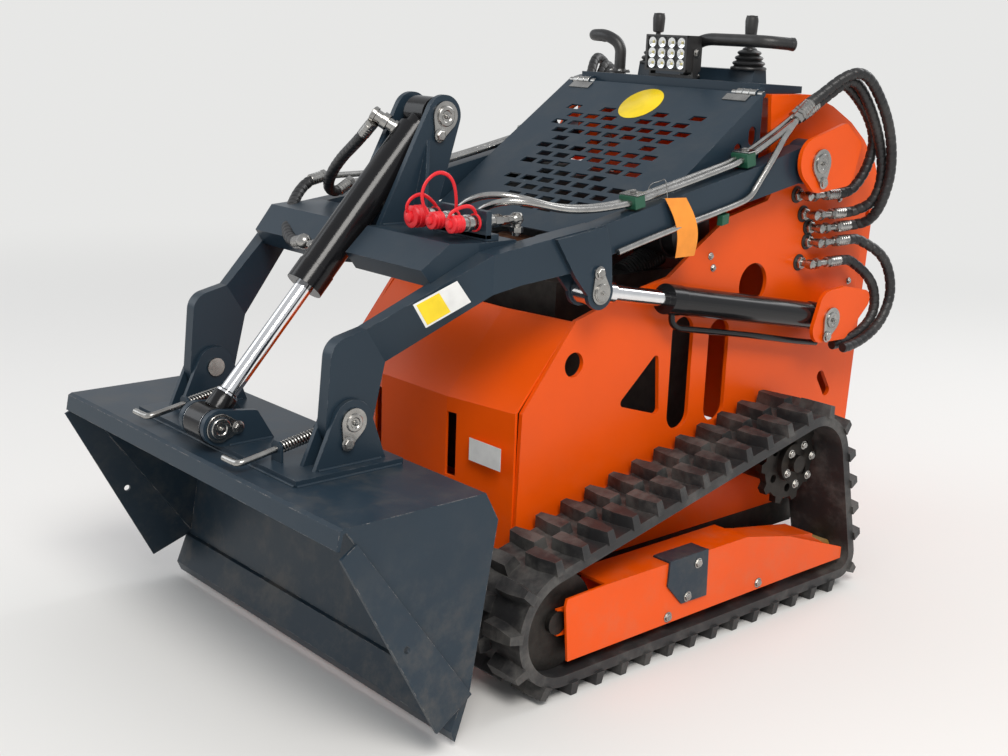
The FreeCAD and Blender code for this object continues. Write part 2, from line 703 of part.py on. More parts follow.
def tilt_top_pin():
    bar = pin(TILT_BASE, PIVOT_R, -(EAR_X + EAR_T + 6), EAR_X + EAR_T + 6)
    tail = between(TILT_BASE, (-420, 1030), 40)
    keeper = rounded(ccw_pair(TILT_BASE, 30, tail, 11), EAR_X + EAR_T + 0.3, EAR_X + EAR_T + 5)
    bolt = pin(tail, 7, EAR_X + EAR_T + 0.3, EAR_X + EAR_T + 12)
    return fuse(bar, keeper, bolt)


CROSS_TOP = 888.0
COUPLERS_X = (180.0, 238.0, 296.0)
COUPLER_R = 14.0
COUPLER_L = 40.0
COUPLER_Z = 922.0
COUPLER_Y = -560.0
BRACKET_Y = -500.0


def coupler_block():
    """Bracket on the left arm's inner side with three capped quick couplers."""
    x0, x1 = COUPLERS_X[0] - 18, ARM_IN - 4
    shelf = block(x0, x1, BRACKET_Y, BRACKET_Y + 30, CROSS_TOP + SEAT, CROSS_TOP + 12)
    wall = block(x0, x1, BRACKET_Y, BRACKET_Y + 12, CROSS_TOP + 8, COUPLER_Z + 22)
    bodies = []
    for x in COUPLERS_X:
        bodies.append(Part.makeCylinder(COUPLER_R, COUPLER_L, at(x, (COUPLER_Y, COUPLER_Z)), V(0, 1, 0)))
        bodies.append(Part.makeCylinder(11, 92, at(x, (COUPLER_Y + 1, COUPLER_Z)), V(0, 1, 0)))
    return fuse(shelf, wall, *bodies)


TUBE_R = 7.0
TUBES_X = (ARM_IN + 8, ARM_IN + 30)
TUBE_RUN = ((-430, 897), (-239, 923), (71, 988), (225, 1022), (392, 1110))
# Y range, low edge, height and the two run points whose tubes pass through each clamp
CLAMPS = (((-150, -124), 932, 26, 1), ((190, 216), 1000.6, 30, 2))


def arm_tubes():
    """Two steel tubes along the top of an arm, their clamps, and the tube on its outer side."""
    runs = [pipe([(x,) + p for p in TUBE_RUN], TUBE_R) for x in TUBES_X]
    side_x = ARM_OUT + TUBE_R + 1
    runs.append(pipe([(side_x, -205, 853), (side_x, -60, 886), (side_x, 150, 925), (side_x, 204, 944),
                      (side_x, 276, 1032), (ARM_OUT - 9, 326, 1070), (ARM_OUT - 13, 372, 1106)], TUBE_R))
    clamps = []
    for (y0, y1), low, high, k in CLAMPS:
        bores = [rod(x, TUBE_RUN[k], TUBE_RUN[k + 1], TUBE_R + SEAT) for x in TUBES_X]
        clamps.append(block(ARM_IN + 1, ARM_OUT - 1, y0, y1, low, low + high).cut(bores))
    return Part.Compound(runs + clamps)


# Cylinders

def barrel(base, eye, x, r, length, eye_half, pin_r):
    """Cylinder barrel with its base eye and end gland, bored through for the rod."""
    start = between(base, eye, pin_r + 22)
    end = between(base, eye, length)
    tube = rod(x, start, end, r)
    gland = rod(x, between(base, eye, length - 44), end, r + 1.5)
    ring = pin(base, pin_r + 14, x - eye_half, x + eye_half)
    neck = rod(x, base, between(base, eye, pin_r + 40), pin_r + 6)
    return fuse(tube, gland, ring, neck)


PORT_TUBE = ((524, 573), (437, 588), (272, 622), (24, 667), (4, 680), (2, 709))


def port_tube():
    """Steel tube that runs under the lift barrel to the port at its front end."""
    return pipe([(ARM_MID,) + p for p in PORT_TUBE], TUBE_R)


def cylinder_pair(base, eye, x, r, rod_r, length, eye_half, pin_r, eye_r, inner):
    """Barrel and rod of one cylinder, with the rod's bore cut from the barrel."""
    body = barrel(base, eye, x, r, length, eye_half, pin_r)
    bore_start = between(base, eye, 105)
    bore = rod(x, bore_start, between(base, eye, length + 5), rod_r + FIT)
    reach = eye_half + 12
    body = body.cut([bore, pin(base, pin_r + FIT, x - reach, x + reach)])
    gap = math.dist(base, eye)
    stem = rod(x, between(base, eye, inner), between(base, eye, gap - eye_r + 6), rod_r)
    ring = pin(eye, eye_r, x - eye_half, x + eye_half)
    neck = rod(x, between(base, eye, gap - eye_r - 34), between(base, eye, gap - eye_r + 4), rod_r + 5)
    return body, fuse(stem, ring, neck)


# Bucket and its carrier

WALL_X = 507.0
BEND_TOP = (-926.0, 450.0)
FLARE_TOP = (-962.0, 432.0)
FLARE_LOW = (-760.0, 58.0)


def flare_x(p):
    """Lateral place on the flared strip, from its distance to the bend line."""
    along = (FLOOR_LOW[0] - BEND_TOP[0], FLOOR_LOW[1] - BEND_TOP[1])
    size = math.hypot(*along)
    away = (along[0] * (p[1] - BEND_TOP[1]) - along[1] * (p[0] - BEND_TOP[0])) / size
    reach = (along[0] * (FLARE_LOW[1] - BEND_TOP[1]) - along[1] * (FLARE_LOW[0] - BEND_TOP[0])) / size
    return WALL_X + (BUCKET_X - WALL_X) * away / reach


def bucket_shell():
    """Back wall, floor and flared side plates of the bucket, open to the front and below."""
    t = BUCKET_PLATE
    outer = [(LIP_Y, WALL_TOP), (LIP_Y - 8, WALL_TOP - 4), (LIP_Y - 14, WALL_TOP - 36), (LIP_Y - 7, WALL_TOP - 38),
             (LIP_Y, WALL_TOP - t), (WALL_END - 2, WALL_TOP - t), (FLOOR_REAR[0] - t, FLOOR_REAR[1] - 2),
             (FLOOR_LOW[0] - t, FLOOR_LOW[1] - 2), FLOOR_LOW, FLOOR_REAR, (WALL_END + 6, WALL_TOP)]
    shell = prism(outer, -WALL_X, WALL_X)
    sides = []
    for s in (LEFT, RIGHT):
        wall = [(LIP_Y, WALL_TOP), BEND_TOP, FLOOR_LOW, FLOOR_REAR, (WALL_END + 6, WALL_TOP)]
        x0, x1 = sorted((s * WALL_X, s * (WALL_X - BUCKET_SIDE)))
        sides.append(prism(wall, x0, x1))
        flare = [(s * flare_x(q), q[0], q[1]) for q in (BEND_TOP, FLOOR_LOW, FLARE_LOW, FLARE_TOP)]
        sides.append(plate(flare, -s * BUCKET_SIDE))
    holes = [pin((-824, 236), 7, s * 480, s * 540) for s in (LEFT, RIGHT)]
    return fuse(shell, *sides).cut(holes)


def cutting_edge():
    """Thick straight bar along the floor's front."""
    bar = [FLOOR_LOW, (FLOOR_LOW[0] - 16, FLOOR_LOW[1] - 4), (EDGE_TIP[0] - 10, EDGE_TIP[1] + 22), EDGE_TIP]
    return prism(bar, -WALL_X, WALL_X)


CARRIER_TOP = WALL_TOP + 12.0


def quick_attach():
    """Carrier plate on the bucket's back wall with four ears and the tilt rod's double lug."""
    base = block(-292, 292, -900, -664, WALL_TOP, CARRIER_TOP)
    parts = [base]
    for s in (LEFT, RIGHT):
        for x0, x1 in ((LEG_IN - 10.5, LEG_IN - 0.5), (LEG_OUT + 0.5, LEG_OUT + 10.5)):
            a, b = sorted((s * x0, s * x1))
            foot = CARRIER_TOP - 4
            parts.append(rounded([BUCKET_PIVOT + (42,), (-843, foot, 3), (-690, foot, 3)], a, b))
        a, b = sorted((s * 34, s * 46))
        foot = CARRIER_TOP - 2
        parts.append(rounded([TILT_EYE + (34,), (-890, foot, 2), (-790, foot, 2), (-830, 545, 8)], a, b))
        a, b = sorted((s * 45, s * 52))
        parts.append(pin(TILT_EYE, PIVOT_R, a, b))
    bores = [pin(BUCKET_PIVOT, LIFT_PIN_R + FIT, -300, 300)]
    return fuse(*parts).cut(bores)


def bucket_pin():
    """Pin through the leg and both its ears, with a keeper outside."""
    x1 = LEG_OUT + 10.5
    bar = pin(BUCKET_PIVOT, LIFT_PIN_R, LEG_IN - 15, x1 + 5)
    tail = between(BUCKET_PIVOT, (-790, 500), 40)
    keeper = rounded(ccw_pair(BUCKET_PIVOT, 27, tail, 10), x1 + 0.3, x1 + 5)
    bolt = pin(tail, 7, x1 + 0.3, x1 + 12)
    return fuse(bar, keeper, bolt)


def lock_handle():
    """Bent round handle of the carrier's locking pin in its guide."""
    bar = pipe([(60, -868, 506), (120, -868, 506), (190, -868, 506), (214, -868, 520), (214, -900, 528),
                (150, -930, 528)], 6)
    guide = block(100, 112, -880, -856, CARRIER_TOP, CARRIER_TOP + 26)
    return fuse(bar, guide)


def build():
    """Write every node of the loader."""
    os.makedirs("parts", exist_ok=True)
    spans = loop_spans(LOOP)
    save("front_panel", front_panel())
    save("rear_plate", rear_plate())
    save("rear_cover", rear_cover())
    save("belly_plate", block(-FLANGE_X + 0.3, FLANGE_X - 0.3, CORNER_Y + 7, 620, BODY_Z0, BODY_Z0 + 8))
    save("engine", Part.Compound([engine(), engine_bed()]))
    save("console", console())
    save("handlebars", handlebars())
    save("control_levers", control_levers())
    save("work_lamp", work_lamp())
    save("hood", hood())
    running_gear = track(spans)
    front_idler = idler(FRONT_IDLER, FRONT_R - BELT_IN - SEAT, 46, 24)
    rear_idler = idler(REAR_IDLER, REAR_R - BELT_IN - SEAT, 30, 12)
    frame = track_frame().cut([front_idler, rear_idler])
    lift = cylinder_pair(LIFT_BASE, LIFT_EYE, ARM_MID, LIFT_BARREL_R, LIFT_ROD_R, LIFT_BARREL_L,
                         20, LIFT_PIN_R, 30, 200)
    lift_barrel = fuse(lift[0], port_tube())
    for side, word in SIDES:
        for name, shape in (
            ("side_plate", side_plate()), ("outer_ears", Part.Compound([arm_ear(), lift_ear()])),
            ("chassis_pins", chassis_pins()), ("hose_fittings", hose_fittings()), ("hoses", hoses()),
            ("track", running_gear), ("sprocket", sprocket()), ("front_idler", front_idler),
            ("rear_idler", rear_idler), ("track_frame", frame), ("track_cover", track_cover()),
            ("arm", arm()), ("arm_tubes", arm_tubes()),
            ("arm_front_pins", Part.Compound([lift_front_pin(), bucket_pin()])),
            ("lift_barrel", lift_barrel), ("lift_rod", lift[1]), ("lock_handle", lock_handle()),
        ):
            save(name + "_" + word, mirrored(shape, side))
    save("cross_member", cross_member())
    save("tilt_top_pin", tilt_top_pin())
    save("coupler_block", coupler_block())
    tilt = cylinder_pair(TILT_BASE, TILT_EYE, 0, TILT_BARREL_R, TILT_ROD_R, TILT_BARREL_L,
                         30, PIVOT_R, 34, 372)
    save("tilt_barrel", tilt[0])
    save("tilt_rod", tilt[1])
    save("bucket_shell", bucket_shell())
    save("cutting_edge", cutting_edge())
    save("quick_attach", quick_attach())
    box = NODES[0][1].BoundBox
    for name, shape in NODES:
        box.add(shape.BoundBox)
        print("%-22s %8.2f litres %4d faces" % (name, shape.Volume / 1e6, len(shape.Faces)))
    print("nodes", len(NODES), "box", box)


build()
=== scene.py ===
import math

import bpy
import numpy as np
from mathutils import Matrix


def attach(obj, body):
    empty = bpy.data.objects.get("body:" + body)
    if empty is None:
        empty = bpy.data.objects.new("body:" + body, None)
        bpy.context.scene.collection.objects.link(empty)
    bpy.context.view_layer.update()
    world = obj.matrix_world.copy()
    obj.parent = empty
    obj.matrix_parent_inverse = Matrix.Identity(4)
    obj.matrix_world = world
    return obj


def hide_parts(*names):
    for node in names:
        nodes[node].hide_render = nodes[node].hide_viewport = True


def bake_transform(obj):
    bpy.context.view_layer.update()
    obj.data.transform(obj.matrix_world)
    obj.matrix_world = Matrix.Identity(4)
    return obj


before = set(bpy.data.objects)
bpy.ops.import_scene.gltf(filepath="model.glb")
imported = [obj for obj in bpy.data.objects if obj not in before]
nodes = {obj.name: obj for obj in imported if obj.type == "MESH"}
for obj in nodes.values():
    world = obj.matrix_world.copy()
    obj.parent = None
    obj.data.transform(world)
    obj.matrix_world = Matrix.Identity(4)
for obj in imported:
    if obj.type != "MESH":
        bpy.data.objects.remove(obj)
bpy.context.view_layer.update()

# Camera and studio
# The camera stands left of the bucket at head height, where the photograph was taken
# from, with its slight roll. The floor is pale and plain and fades into the background.
EYE = (2.2288, -2.0727, 1.2846)
AZIMUTH, ELEVATION, ROLL = 48.1134, 14.5996, -2.1398
PICTURE_WIDTH = 1008
FOCAL_PIXELS = 1374.8
CENTRE_OFFSET = (-0.5, 1.71)
SENSOR = 36.0


def unit(way):
    """Each way divided by its length."""
    way = np.asarray(way, float)
    return way / np.linalg.norm(way, axis=-1, keepdims=True)


def looking(azimuth, elevation, roll):
    """Camera axes: the view ray from the two angles, then right and up turned by the roll."""
    az, el, turn = np.radians([azimuth, elevation, roll])
    ray = np.array([-np.sin(az) * np.cos(el), np.cos(az) * np.cos(el), -np.sin(el)])
    right = unit(np.cross(ray, [0, 0, 1.0]))
    down = np.cross(ray, right)
    rolled = np.cos(turn) * right + np.sin(turn) * down
    return rolled, np.cross(rolled, ray), -ray


def linked(name, data):
    """A new object, linked into the scene."""
    made = bpy.data.objects.new(name, data)
    bpy.context.scene.collection.objects.link(made)
    return made


def stance(axes, place):
    """The matrix that gives an object these axes and this place."""
    matrix = np.eye(4)
    matrix[:3, :3] = np.column_stack(axes)
    matrix[:3, 3] = place
    return Matrix(matrix.tolist())


camera_data = bpy.data.cameras.new("camera")
camera = linked("camera", camera_data)
camera.matrix_world = stance(looking(AZIMUTH, ELEVATION, ROLL), EYE)
camera_data.sensor_width = SENSOR
camera_data.lens = FOCAL_PIXELS * SENSOR / PICTURE_WIDTH
camera_data.shift_x = -CENTRE_OFFSET[0] / PICTURE_WIDTH
camera_data.shift_y = CENTRE_OFFSET[1] / PICTURE_WIDTH
camera_data.clip_end = 60.0
bpy.context.scene.camera = camera
bpy.context.scene.view_settings.view_transform = "Standard"


class Tone:
    """A value in a finish's node tree. Arithmetic on it adds the Math nodes."""

    def __init__(self, finish, socket):
        self.finish = finish
        self.socket = socket

    def maths(self, operation, *operands):
        return self.finish.node("Math", {"operation": operation}, dict(enumerate(operands)))

    def __add__(self, other):
        return self.maths("ADD", self, other)

    def __radd__(self, other):
        return self.maths("ADD", other, self)

    def __rsub__(self, other):
        return self.maths("SUBTRACT", other, self)

    def __mul__(self, other):
        return self.maths("MULTIPLY", self, other)

    def __rmul__(self, other):
        return self.maths("MULTIPLY", other, self)

    def above(self, low, high):
        """Smooth step from 0 at low to 1 at high."""
        return self.finish.node("MapRange", {"interpolation_type": "SMOOTHSTEP"},
                                {"Value": self, "From Min": low, "From Max": high})


class Finish:
    """A procedural material or world. node() adds one node and gives back one of its outputs."""

    def __init__(self, name, kind="materials"):
        self.made = getattr(bpy.data, kind).new(name)
        self.made.use_nodes = True
        self.tree = self.made.node_tree
        self.tree.nodes.clear()

    def node(self, kind, settings=None, inputs=None, output=0):
        made = self.tree.nodes.new("ShaderNode" + kind)
        for key, value in (settings or {}).items():
            setattr(made, key, value)
        for key, value in (inputs or {}).items():
            if isinstance(value, Tone):
                self.tree.links.new(value.socket, made.inputs[key])
            else:
                made.inputs[key].default_value = value
        return None if output is None else Tone(self, made.outputs[output])

    def noise(self, scale, detail=4.0, rough=0.55):
        """Fractal noise from 0 to 1 on the piece's own coordinates in metres."""
        own = self.node("TexCoord", output="Object")
        inputs = {"Vector": own, "Scale": scale, "Detail": detail, "Roughness": rough}
        return self.node("TexNoise", None, inputs)

    def blend(self, factor, low, high):
        """Colour between low and high."""
        return self.node("Mix", {"data_type": "RGBA"}, {0: factor, 6: low, 7: high}, output=2)

    def edges(self, radius):
        """1 at outside and inside edges within the radius, else 0."""
        soft = self.node("Bevel", {"samples": 4}, {"Radius": radius})
        true = self.node("NewGeometry", output="Normal")
        return 1.0 - self.node("VectorMath", {"operation": "DOT_PRODUCT"}, {0: soft, 1: true}, output="Value")

    def upright(self, output):
        """Z of the position or the normal."""
        return self.node("SeparateXYZ", None, {"Vector": self.node("NewGeometry", output=output)}, output="Z")

    def bump(self, height, distance, strength=1.0, normal=None):
        """Normal tilted by the height's slope; the distance is in metres."""
        inputs = {"Height": height, "Distance": distance, "Strength": strength}
        if normal is not None:
            inputs["Normal"] = normal
        return self.node("Bump", None, inputs)

    def close(self, shader, end="OutputMaterial"):
        """Ends the tree with the given shader and gives back what was made."""
        self.node(end, None, {"Surface": shader}, output=None)
        return self.made

    def surface(self, **inputs):
        """Principled surface; its sockets are named with _ for a space."""
        sockets = {name.replace("_", " "): value for name, value in inputs.items()}
        return self.close(self.node("BsdfPrincipled", None, sockets))


def rgb(red, green, blue):
    """Opaque colour from linear values."""
    return (red, green, blue, 1.0)


FLOOR = rgb(0.80, 0.79, 0.77)
FLOOR_REACH, FADE = 30.0, (2.2, 6.0)
BACKGROUND = rgb(0.80, 0.80, 0.79)
SKY = rgb(0.95, 0.97, 1.0)
SKY_STRENGTH = 0.62


def seen_directly(made):
    """1 for rays from the camera, from mirrors and through glass, else 0."""
    camera_ray, mirrored, through = [made.node("LightPath", output=f"Is {kind} Ray")
                                     for kind in ("Camera", "Glossy", "Transmission")]
    return camera_ray + mirrored + through


def studio(name, colour):
    """Matt floor that turns into the background's own white further out."""
    made = Finish(name)
    spot = made.node("NewGeometry", output="Position")
    far = made.node("VectorMath", {"operation": "LENGTH"}, {0: spot}, output="Value").above(*FADE)
    plain = made.node("Emission", None, {"Color": BACKGROUND, "Strength": 1.0})
    matt = made.node("BsdfDiffuse", None, {"Color": colour})
    return made.close(made.node("MixShader", None, {0: far * seen_directly(made), 1: matt, 2: plain}))


floor_mesh = bpy.data.meshes.new("floor")
floor_corners = [(x * FLOOR_REACH, y * FLOOR_REACH, 0) for x, y in ((-1, -1), (1, -1), (1, 1), (-1, 1))]
floor_mesh.from_pydata(floor_corners, [], [(0, 1, 2, 3)])
floor = linked("floor", floor_mesh)
floor_mesh.materials.append(studio("pale_floor", FLOOR))

world = Finish("studio", "worlds")
sky = world.node("Background", None, {"Color": SKY, "Strength": SKY_STRENGTH})
plain_sky = world.node("Background", None, {"Color": BACKGROUND, "Strength": 1.0})
in_view = world.node("LightPath", output="Is Camera Ray")
chosen = world.node("MixShader", None, {0: in_view, 1: sky, 2: plain_sky})
bpy.context.scene.world = world.close(chosen, "OutputWorld")

LAMPS = (
    # name, place, watts, size, colour
    ("key", (3.6, -2.2, 4.6), 210, 2.2, (1.0, 0.97, 0.93)),
    ("fill", (-3.8, -3.4, 3.0), 60, 3.5, (0.92, 0.96, 1.0)),
    ("back", (0.5, 4.5, 4.0), 90, 3.0, (1.0, 1.0, 1.0)),
)
LIT_POINT = (0.0, 0.0, 0.5)
for name, place, watts, size, colour in LAMPS:
    lamp_data = bpy.data.lights.new(name, "AREA")
    lamp_data.energy = watts
    lamp_data.size = size
    lamp_data.color = colour
    away = unit(np.subtract(place, LIT_POINT))
    side = unit(np.cross([0, 0, 1.0], away))
    lamp = linked(name, lamp_data)
    lamp.matrix_world = stance((side, np.cross(away, side), away), place)


# Body: side walls, folded front, rear door and belly
# Laser-cut steel sheet, welded, powder coated bright orange and held by hexagon bolts. Dust
# lies on its ledges and lower parts, and the coat is thin and darker along its cut edges.
DUST = rgb(0.34, 0.27, 0.19)


def darker(colour, share):
    """The colour times the share."""
    return rgb(*(share * part for part in colour[:3]))


def painted(name, colour, worn, roughness=0.30, dust=0.35, chips=1.0):
    """Powder coat: slightly uneven colour, dust from below and on ledges, rubbed edges."""
    made = Finish(name)
    cloud = made.noise(3.0)
    grain = made.noise(160.0, 2.0)
    shade = made.blend(cloud.above(0.3, 0.7), darker(colour, 0.90), colour)
    low = 1.0 - made.upright("Position").above(0.05, 0.55)
    ledge = made.upright("Normal").above(0.55, 1.0)
    spots = made.noise(14.0, 8.0, 0.7).above(0.42, 0.72)
    settled = (low * 0.8 + ledge * 0.45) * spots * dust
    dusty = made.blend(settled, shade, DUST)
    rubbed = made.edges(0.0025).above(0.02, 0.12) * made.noise(45.0, 6.0, 0.7).above(0.50, 0.64) * chips
    final = made.blend(rubbed, dusty, worn)
    rough = roughness + 0.10 * cloud + 0.40 * settled + 0.15 * rubbed
    peel = made.bump(grain, 0.0003, 0.25, made.node("Bevel", {"samples": 4}, {"Radius": 0.0012}))
    return made.surface(Base_Color=final, Roughness=rough, Normal=peel, IOR=1.36)


def dress(material, slot, *names):
    """Gives CAD nodes a finish; the slot argument is not used."""
    for name in names:
        mesh = nodes[name].data
        mesh.materials.clear()
        mesh.materials.append(material)


def both(*names):
    """The names of the left and right ones."""
    return [name + side for name in names for side in ("_left", "_right")]


FOOTPRINT_MIDDLE = (0.0, -84.5, 0.0)


def placed(points):
    """Drawing millimetres to metres from the middle of the footprint."""
    return np.subtract(points, FOOTPRINT_MIDDLE) / 1000.0


def piece(name, shapes, material, body=None, crease=33.0):
    """One object of closed shapes, each a stack of rings joined by squares and capped at its ends.

    A shape in a tuple is a loop, whose last ring joins its first. Rings that turn clockwise about
    their way are taken in reverse, so that the faces point outwards."""
    corners, faces, first = [], [], 0
    for shape in shapes:
        loop = isinstance(shape, tuple)
        rings = np.asarray(shape[0] if loop else shape, float)
        spokes = rings - rings.mean(1)[:, None]
        areas = np.cross(spokes, np.roll(spokes, -1, 1)).sum(1)
        way = np.roll(rings.mean(1), -1, 0) - rings.mean(1)
        if not loop:
            way[-1] = 0
        if (areas * way).sum() < 0:
            rings = rings[::-1]
        index = first + np.arange(rings.shape[0] * rings.shape[1]).reshape(rings.shape[:2])
        upper = np.roll(index, -1, 0) if loop else index[1:]
        lower = index if loop else index[:-1]
        quads = np.stack([lower, np.roll(lower, -1, 1), np.roll(upper, -1, 1), upper], -1)
        faces += quads.reshape(-1, 4).tolist()
        if not loop:
            faces += [index[0, ::-1].tolist(), index[-1].tolist()]
        corners.append(rings.reshape(-1, 3))
        first += index.size
    mesh = bpy.data.meshes.new(name)
    mesh.from_pydata(placed(np.concatenate(corners)).tolist(), [], faces)
    mesh.polygons.foreach_set("use_smooth", np.ones(len(faces), bool))
    mesh.set_sharp_from_angle(angle=math.radians(crease))
    mesh.materials.append(material)
    made = linked(name, mesh)
    if body:
        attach(made, body)
    return made


# A direction that no axis here runs along
ODD_WAY = (0.31, 0.17, 0.93)


def square_to(axis):
    """Two directions square to the axis and to each other."""
    side = unit(np.cross(axis, ODD_WAY))
    return side, np.cross(axis, side)


def lathe(place, axis, profile, steps=28):
    """Turned part: (distance along, radius) pairs swung about the axis."""
    axis = unit(axis)
    side, across = square_to(axis)
    along, radius = np.array(profile, float).T
    angle = np.arange(steps) * 2 * np.pi / steps
    spokes = np.cos(angle)[:, None] * side + np.sin(angle)[:, None] * across
    return np.asarray(place, float) + along[:, None, None] * axis + radius[:, None, None] * spokes


def sheet(sides, low, high):
    """Rectangle between two x, from the (y, z) of its low edge to that of its high edge."""
    (x0, x1), (y0, z0), (y1, z1) = sides, low, high
    return np.array([(x0, y0, z0), (x1, y0, z0), (x1, y1, z1), (x0, y1, z1)], float)


def slab(outline, normal, thick, chamfer=0.6):
    """Convex plate: the outline carried along the normal, its rims drawn in by the chamfer."""
    outline = np.asarray(outline, float)
    spokes = outline - outline.mean(0)
    drawn_in = outline - unit(spokes) * chamfer
    step = unit(normal)
    return np.array([drawn_in, outline + step * chamfer,
                     outline + step * (thick - chamfer), drawn_in + step * thick])


def hex_bolt(place, axis, corner, height):
    """Washer, six-sided head with its top drawn in, and a low round boss on it."""
    place, axis = np.asarray(place, float), unit(axis)
    return [lathe(place, axis, [(0, corner * 1.22), (1.2, corner * 1.3), (1.8, corner * 1.2)]),
            lathe(place, axis, [(1.2, corner), (height - 1.2, corner), (height, corner * 0.84)], 6),
            lathe(place, axis, [(height - 0.5, corner * 0.55), (height + 0.5, corner * 0.5)], 12)]


def sided(shapes, side):
    """The shapes on the left for side 1, or their mirror image on the right for side -1."""
    flip = np.array([side, 1.0, 1.0])
    return [(shape[0] * flip,) if isinstance(shape, tuple) else shape * flip for shape in shapes]


SIDES = (("left", 1), ("right", -1))


def pair(name, shapes, material, body, crease=33.0):
    """The piece on the left and its mirror image on the right."""
    for side_name, side in SIDES:
        piece(f"{name}_{side_name}", sided(shapes, side), material, body, crease)


ORANGE = rgb(0.88, 0.092, 0.0)
orange_paint = painted("orange_powder_coat", ORANGE, rgb(0.42, 0.05, 0.01), dust=0.14, chips=0.5)
dress(orange_paint, "orange_paint", "front_panel", "rear_plate", "rear_cover", "belly_plate",
      *both("side_plate", "outer_ears", "track_frame", "track_cover"))


def metal(name, colour, roughness, spread, flecks, dirt=0.25):
    """Bare or plated metal: cloudy brightness, fine scratches and some dirt in patches."""
    made = Finish(name)
    cloud = made.noise(30.0, 6.0, 0.65)
    lines = made.noise(70.0, 3.0, 0.6)
    dirty = made.noise(18.0, 8.0, 0.75).above(0.52, 0.75) * dirt
    tint = made.blend(cloud.above(0.3, 0.7), darker(colour, 1 - spread), colour)
    shade = made.blend(dirty, tint, rgb(0.10, 0.075, 0.05))
    rough = roughness + 0.12 * lines + 0.35 * dirty
    return made.surface(Base_Color=shade, Metallic=1.0 - 0.7 * dirty, Roughness=rough,
                        Normal=made.bump(lines, flecks, 0.4))


zinc = metal("zinc_plate", rgb(0.44, 0.43, 0.41), 0.2, 0.3, 0.0001, dirt=0.3)
WALL_FACE = 306.0
WALL_BOLTS = ((172, 778), (161, 805), (620, 905), (690, 300), (690, 700))
DOOR_FACE = 788.0
DOOR_BOLTS = ((250, 300), (250, 560), (250, 820))
door_bolts = []
for x, z in DOOR_BOLTS:
    door_bolts += hex_bolt((x, DOOR_FACE, z), (0, 1, 0), 8, 5.5)
    door_bolts += hex_bolt((-x, DOOR_FACE, z), (0, 1, 0), 8, 5.5)
piece("door_bolts", door_bolts, zinc, "chassis")
wall_bolts = []
for y, z in WALL_BOLTS:
    wall_bolts += hex_bolt((WALL_FACE + 0.1, y, z), (1, 0, 0), 6.5, 5)
pair("side_bolts", wall_bolts, zinc, "chassis")


# Engine bay
# What shows through the hood's slots and the side windows: a moulded fuel tank and a battery,
# an air cleaner with its two clamp bands and ribbed duct, and a rusty muffler.
def rubber(name, colour, roughness, dust, grain):
    """Black rubber or grained plastic: matt, a little grey where worn, dusty in patches."""
    made = Finish(name)
    cloud = made.noise(9.0, 6.0, 0.7)
    fine = made.noise(grain, 3.0)
    dusty = cloud.above(0.42, 0.70) * dust
    worn = made.edges(0.004).above(0.02, 0.2) * dust
    shade = made.blend(dusty, colour, rgb(0.19, 0.18, 0.165))
    final = made.blend(worn * 0.5, shade, rgb(0.12, 0.11, 0.10))
    return made.surface(Base_Color=final, Roughness=roughness + 0.2 * dusty,
                        Normal=made.bump(fine, 0.0006, 0.35))


grained_plastic = rubber("black_grained_plastic", rgb(0.014, 0.014, 0.015), 0.38, 0.12, 700.0)
rusty_steel = metal("rusty_steel", rgb(0.20, 0.09, 0.05), 0.6, 0.4, 0.0006, dirt=0.8)
TANK_FLOOR, TANK_HEIGHT = 765.0, 175.0
BATTERY_FLOOR, BATTERY_HEIGHT = 650.0, 170.0
tank = slab(sheet((-285, -70), (30, TANK_FLOOR), (285, TANK_FLOOR)), (0, 0, 1), TANK_HEIGHT, 14)
battery = slab(sheet((-285, -120), (-185, BATTERY_FLOOR), (-20, BATTERY_FLOOR)), (0, 0, 1), BATTERY_HEIGHT, 6)
NECK = [(0, 30), (10, 30), (11, 34), (28, 34), (30, 31)]
neck = lathe((-120, 90, TANK_FLOOR + TANK_HEIGHT - 2), (0, 0, 1), NECK, 32)
piece("fuel_tank_and_battery", [tank, battery, neck], grained_plastic, "chassis")
CLEANER = [(0, 50), (4, 62), (30, 62), (32, 65), (40, 65), (42, 62), (150, 62), (152, 65), (160, 65),
           (162, 62), (196, 62), (206, 44), (214, 20)]
PLEAT = [(0, 24), (2, 29), (6, 29), (8, 24)]
cleaner = [lathe((50, 160, 850), (1, 0, 0), CLEANER, 40)]
cleaner += [lathe((150, 160 - k * 8, 790 - k * 3), (0, -1, -0.4), PLEAT, 24) for k in range(14)]
piece("air_cleaner", cleaner, grained_plastic, "chassis")
MUFFLER = [(0, 30), (5, 46), (12, 50), (225, 50), (232, 46), (237, 30)]
muffler = [lathe((-100, -95, 775), (1, 0, 0), MUFFLER, 36),
           lathe((100, -95, 775), (0, -0.4, 1), [(40, 15), (64, 15), (65, 13)], 20)]
piece("muffler", muffler, rusty_steel, "chassis")


# Rear door louvres
# Eight louvres pressed out of the sheet door let the warm air out. They don't show in the
# photograph; they are what such a machine has.
LOUVRE_HALF, LOUVRE_HEIGHT, LOUVRE_PITCH = 150, 22, 40
louvres = []
for z in range(380, 700, LOUVRE_PITCH):
    face = sheet((-LOUVRE_HALF, LOUVRE_HALF), (DOOR_FACE, z), (DOOR_FACE, z + LOUVRE_HEIGHT))
    lip = sheet((4 - LOUVRE_HALF, LOUVRE_HALF - 4), (DOOR_FACE + 9, z + 1), (DOOR_FACE + 7, z + 4))
    louvres.append(np.array([face, lip]))
piece("door_louvres", louvres, orange_paint, "chassis")


